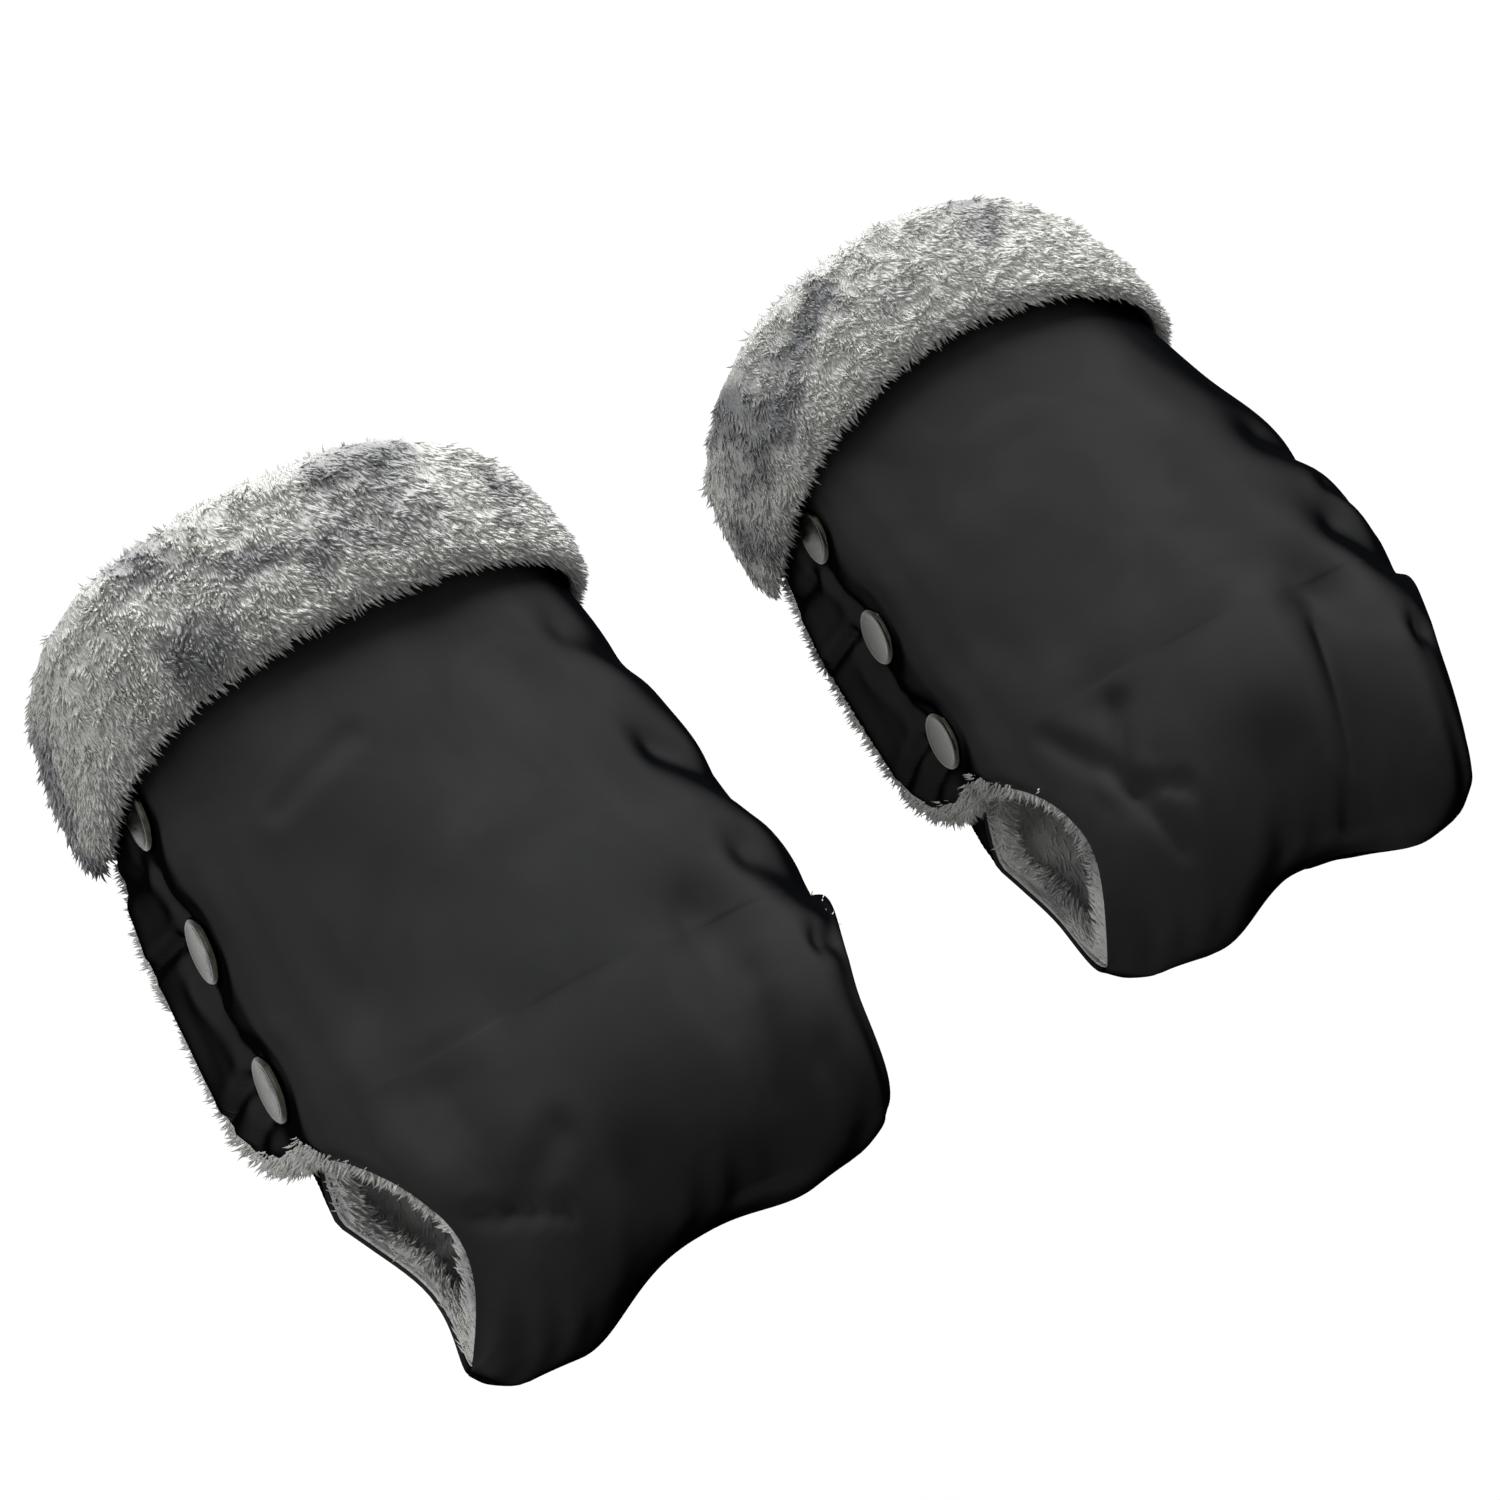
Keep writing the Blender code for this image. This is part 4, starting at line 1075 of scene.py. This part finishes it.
# %% [markdown]
# Now each muff is dressed: two panels of three layers, the cuff over the mouth, the
# flap, and the caps of the snaps. The flap's cloth crosses its hinge, so it blends
# from the muff to the flap over the shoulder.
# %% Panels and cuffs
PANEL_CLOTH, CUFF_CLOTH, FLAP_CLOTH = (0.27, 0.26), (0.27, 0.07), (0.07, 0.17)
LINING_DENSITY, FLAP_LINING_DENSITY, CUFF_DENSITY = 210000.0, 500000.0, 1200000.0
PANEL_LAYERS = {
    "shell": ((112, 120), "black_nylon"),
    "wadding": ((112, 120), "white_wadding"),
    "lining": ((64, 72), "grey_plush"),
}
CUFF_GRIDS = {"front": (110, 30), "back": (80, 30)}
BACKING_GRID = (60, 12)


def dress_panel(side, panel, seed):
    body = f"{side}_muff"
    for layer, (grid, finish) in PANEL_LAYERS.items():
        faces = both_faces(panel_face, side, panel, layer)
        piece = laid_wall(f"{side}_{panel}_{layer}_cloth", grid, faces, PANEL_CLOTH, side,
                          finish)
        if layer == "lining":
            grow_pile(piece, LINING_DENSITY, seed)
        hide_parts(f"{side}_{panel}_{layer}")
        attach(piece, body)
    faces = both_faces(cuff_face, side, panel, cuff_place)
    cuff = laid_wall(f"{side}_{panel}_cuff_plush", CUFF_GRIDS[panel], faces, CUFF_CLOTH, side,
                     "grey_plush")
    grown = grow_pile(cuff, CUFF_DENSITY, seed + 1)
    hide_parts(f"{side}_{panel}_cuff")
    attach(cuff, body)
    faces = both_faces(cuff_face, side, panel, backing_place)
    backing = laid_wall(f"{side}_{panel}_cuff_backing_cloth", BACKING_GRID, faces, CUFF_CLOTH,
                        side, "black_nylon")
    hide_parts(f"{side}_{panel}_cuff_backing")
    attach(backing, body)
    print(f"{side} {panel} panel dressed, {grown} faces in its cuff")


# %% Flaps
BLEND_END = 0.8


def bend_with_flap(side, piece):
    """The flap's cloth stays with the muff at the shoulder and turns beyond it."""
    level = SNAP_LEVELS[1]
    start = PLACES[side] @ sharp_flap_point(0.0, level, 0.0, FLAP_DROP)
    end = PLACES[side] @ sharp_flap_point(FLAP_ARC * BLEND_END, level, 0.0, FLAP_DROP)
    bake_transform(piece, f"{side}_muff", f"{side}_flap", start=tuple(start), end=tuple(end))


FLAP_LAYERS = [
    ("shell", (48, 90), both_faces(flap_face_at, "shell"), FLAP_CLOTH, "black_nylon", 0.0),
    ("lining", (32, 60), both_faces(flap_face_at, "lining"), FLAP_CLOTH, "grey_plush",
     FLAP_LINING_DENSITY),
    ("cuff", (40, 30), both_faces(flap_cuff_face, cuff_place, FRINGE), CUFF_CLOTH,
     "grey_plush", CUFF_DENSITY),
    ("cuff_backing", (30, 12), both_faces(flap_cuff_face, backing_place, 0.0), CUFF_CLOTH,
     "black_nylon", 0.0),
]


def dress_flap(side, seed):
    for number, (layer, grid, faces, cloth_size, finish, density) in enumerate(FLAP_LAYERS):
        piece = laid_wall(f"{side}_flap_{layer}_cloth", grid, faces, cloth_size, side, finish)
        if density:
            grow_pile(piece, density, seed + number)
        bend_with_flap(side, piece)
        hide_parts(f"{side}_flap_{layer}")


# %% [markdown]
# A snap's cap is pressed from sheet metal: a flat face inside a rounded rim. The
# packed caps are kept but hidden, and finer ones are spun here from the same
# profile. The other three pieces of each snap only need their metal.
# %% Snaps
def snap_frame(level):
    lean = (FACE_AT_BAR - FACE_AT_MOUTH) / MOUTH_LEVEL
    out = Vector((-1.0, lean, 0.0)).normalized()
    front = Vector((0.0, 0.0, 1.0))
    turned = Matrix((front, front.cross(out), out)).transposed().to_4x4()
    return Matrix.Translation((-flap_face(level), level, SNAP_RISE)) @ turned


CAP_RIM, CAP_STEM, STEM_DEPTH = 0.0014, 0.0020, 0.0024
RIM_STEPS, CAP_STEPS = 8, 64
SHARP_METAL = 50.0


def spin_cap(name, frame_at):
    """A cap spun from its profile, from the middle of its face to the end of its stem."""
    radius = CAP_DIAMETER / 2
    profile = [(0.0, CAP_HEIGHT - 0.0003),
               (radius - 2.4 * CAP_RIM, CAP_HEIGHT - 0.00028),
               (radius - 1.5 * CAP_RIM, CAP_HEIGHT - 0.0001)]
    for step in range(RIM_STEPS + 1):
        angle = math.pi / 2 - math.pi / 2 * step / RIM_STEPS
        profile.append((radius - CAP_RIM + CAP_RIM * math.cos(angle),
                        CAP_HEIGHT - CAP_RIM + CAP_RIM * math.sin(angle)))
    profile += [(radius - CAP_RIM / 2, GAP), (CAP_STEM, GAP), (CAP_STEM, -STEM_DEPTH),
                (0.0, -STEM_DEPTH)]
    builder = bmesh.new()
    line = [builder.verts.new((across, 0.0, height)) for across, height in profile]
    edges = [builder.edges.new(pair) for pair in zip(line, line[1:])]
    bmesh.ops.spin(builder, geom=line + edges, axis=(0.0, 0.0, 1.0), cent=(0.0, 0.0, 0.0),
                   angle=2 * math.pi, steps=CAP_STEPS, use_merge=True)
    bmesh.ops.remove_doubles(builder, verts=builder.verts, dist=0.00001)
    bmesh.ops.recalc_face_normals(builder, faces=builder.faces)
    bmesh.ops.transform(builder, matrix=frame_at, verts=builder.verts)
    mesh = finished_mesh(builder, name, MATERIALS["dark_nickel"], SHARP_METAL)
    return new_object(name, mesh)


def dress_snaps(side):
    for number, level in enumerate(SNAP_LEVELS, start=1):
        cap = spin_cap(f"{side}_snap_{number}_spun_cap", PLACES[side] @ snap_frame(level))
        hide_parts(f"{side}_snap_{number}_cap")
        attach(cap, f"{side}_flap")
        for part in ("socket", "stud", "rivet"):
            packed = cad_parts[f"{side}_snap_{number}_{part}"]
            packed.data.materials.clear()
            packed.data.materials.append(MATERIALS["dark_nickel"])


# %% Dress both muffs
for side, seed in (("left", 10), ("right", 50)):
    dress_panel(side, "front", seed)
    dress_panel(side, "back", seed + 10)
    dress_flap(side, seed + 20)
    dress_snaps(side)

# %% [markdown]
# The light is soft. Most of it comes from above, behind and the right, as the
# photograph's highlights show, and a little from the left. The floor and the sky look
# white to the camera and to the metal, but light the cloth only at a plain level.
# %% Light, sky and floor
def add_sun(name, comes_from, strength, spread):
    lamp = new_object(name, bpy.data.lights.new(name, "SUN"))
    lamp.data.energy = strength
    lamp.data.angle = math.radians(spread)
    face_along(lamp, comes_from, -Vector(comes_from))


add_sun("key", (0.52, 0.42, 0.82), strength=4.1, spread=38.0)
add_sun("fill", (-1.0, 0.2, 0.5), strength=1.0, spread=60.0)


def seen_directly(tree):
    """1 for what the camera, a mirror or glass sees, and 0 for light on the object."""
    path = add_node(tree, "ShaderNodeLightPath", {})
    seen = path["Is Camera Ray"]
    for other in ("Is Glossy Ray", "Is Transmission Ray"):
        seen = add_node(tree, "ShaderNodeMath", {0: seen, 1: path[other]},
                        operation="MAXIMUM")["Value"]
    return seen


WHITE = (1.0, 1.0, 1.0, 1.0)
world = bpy.data.worlds.new("studio")
bpy.context.scene.world = world
world.use_nodes = True
sky = world.node_tree
set_inputs(sky, sky.nodes["Background"], {
    "Color": WHITE, "Strength": add_range(sky, seen_directly(sky), 0.20, 1.0)})

FLOOR_LEVEL, FLOOR_SIZE = -0.30, 6.0
floor_builder = bmesh.new()
bmesh.ops.create_grid(floor_builder, x_segments=1, y_segments=1, size=FLOOR_SIZE,
                      matrix=Matrix.Translation((0.0, 0.0, FLOOR_LEVEL)))
floor_tree = new_material("floor")
set_shader(floor_tree, {
    "Base Color": (0.12, 0.12, 0.12, 1.0), "Roughness": 0.9, "Specular IOR Level": 0.0,
    "Emission Color": WHITE,
    "Emission Strength": add_range(floor_tree, seen_directly(floor_tree), 0.0, 0.88)})
floor = new_object("floor", finished_mesh(floor_builder, "floor", MATERIALS["floor"]))
bpy.context.scene.view_settings.view_transform = "Standard"
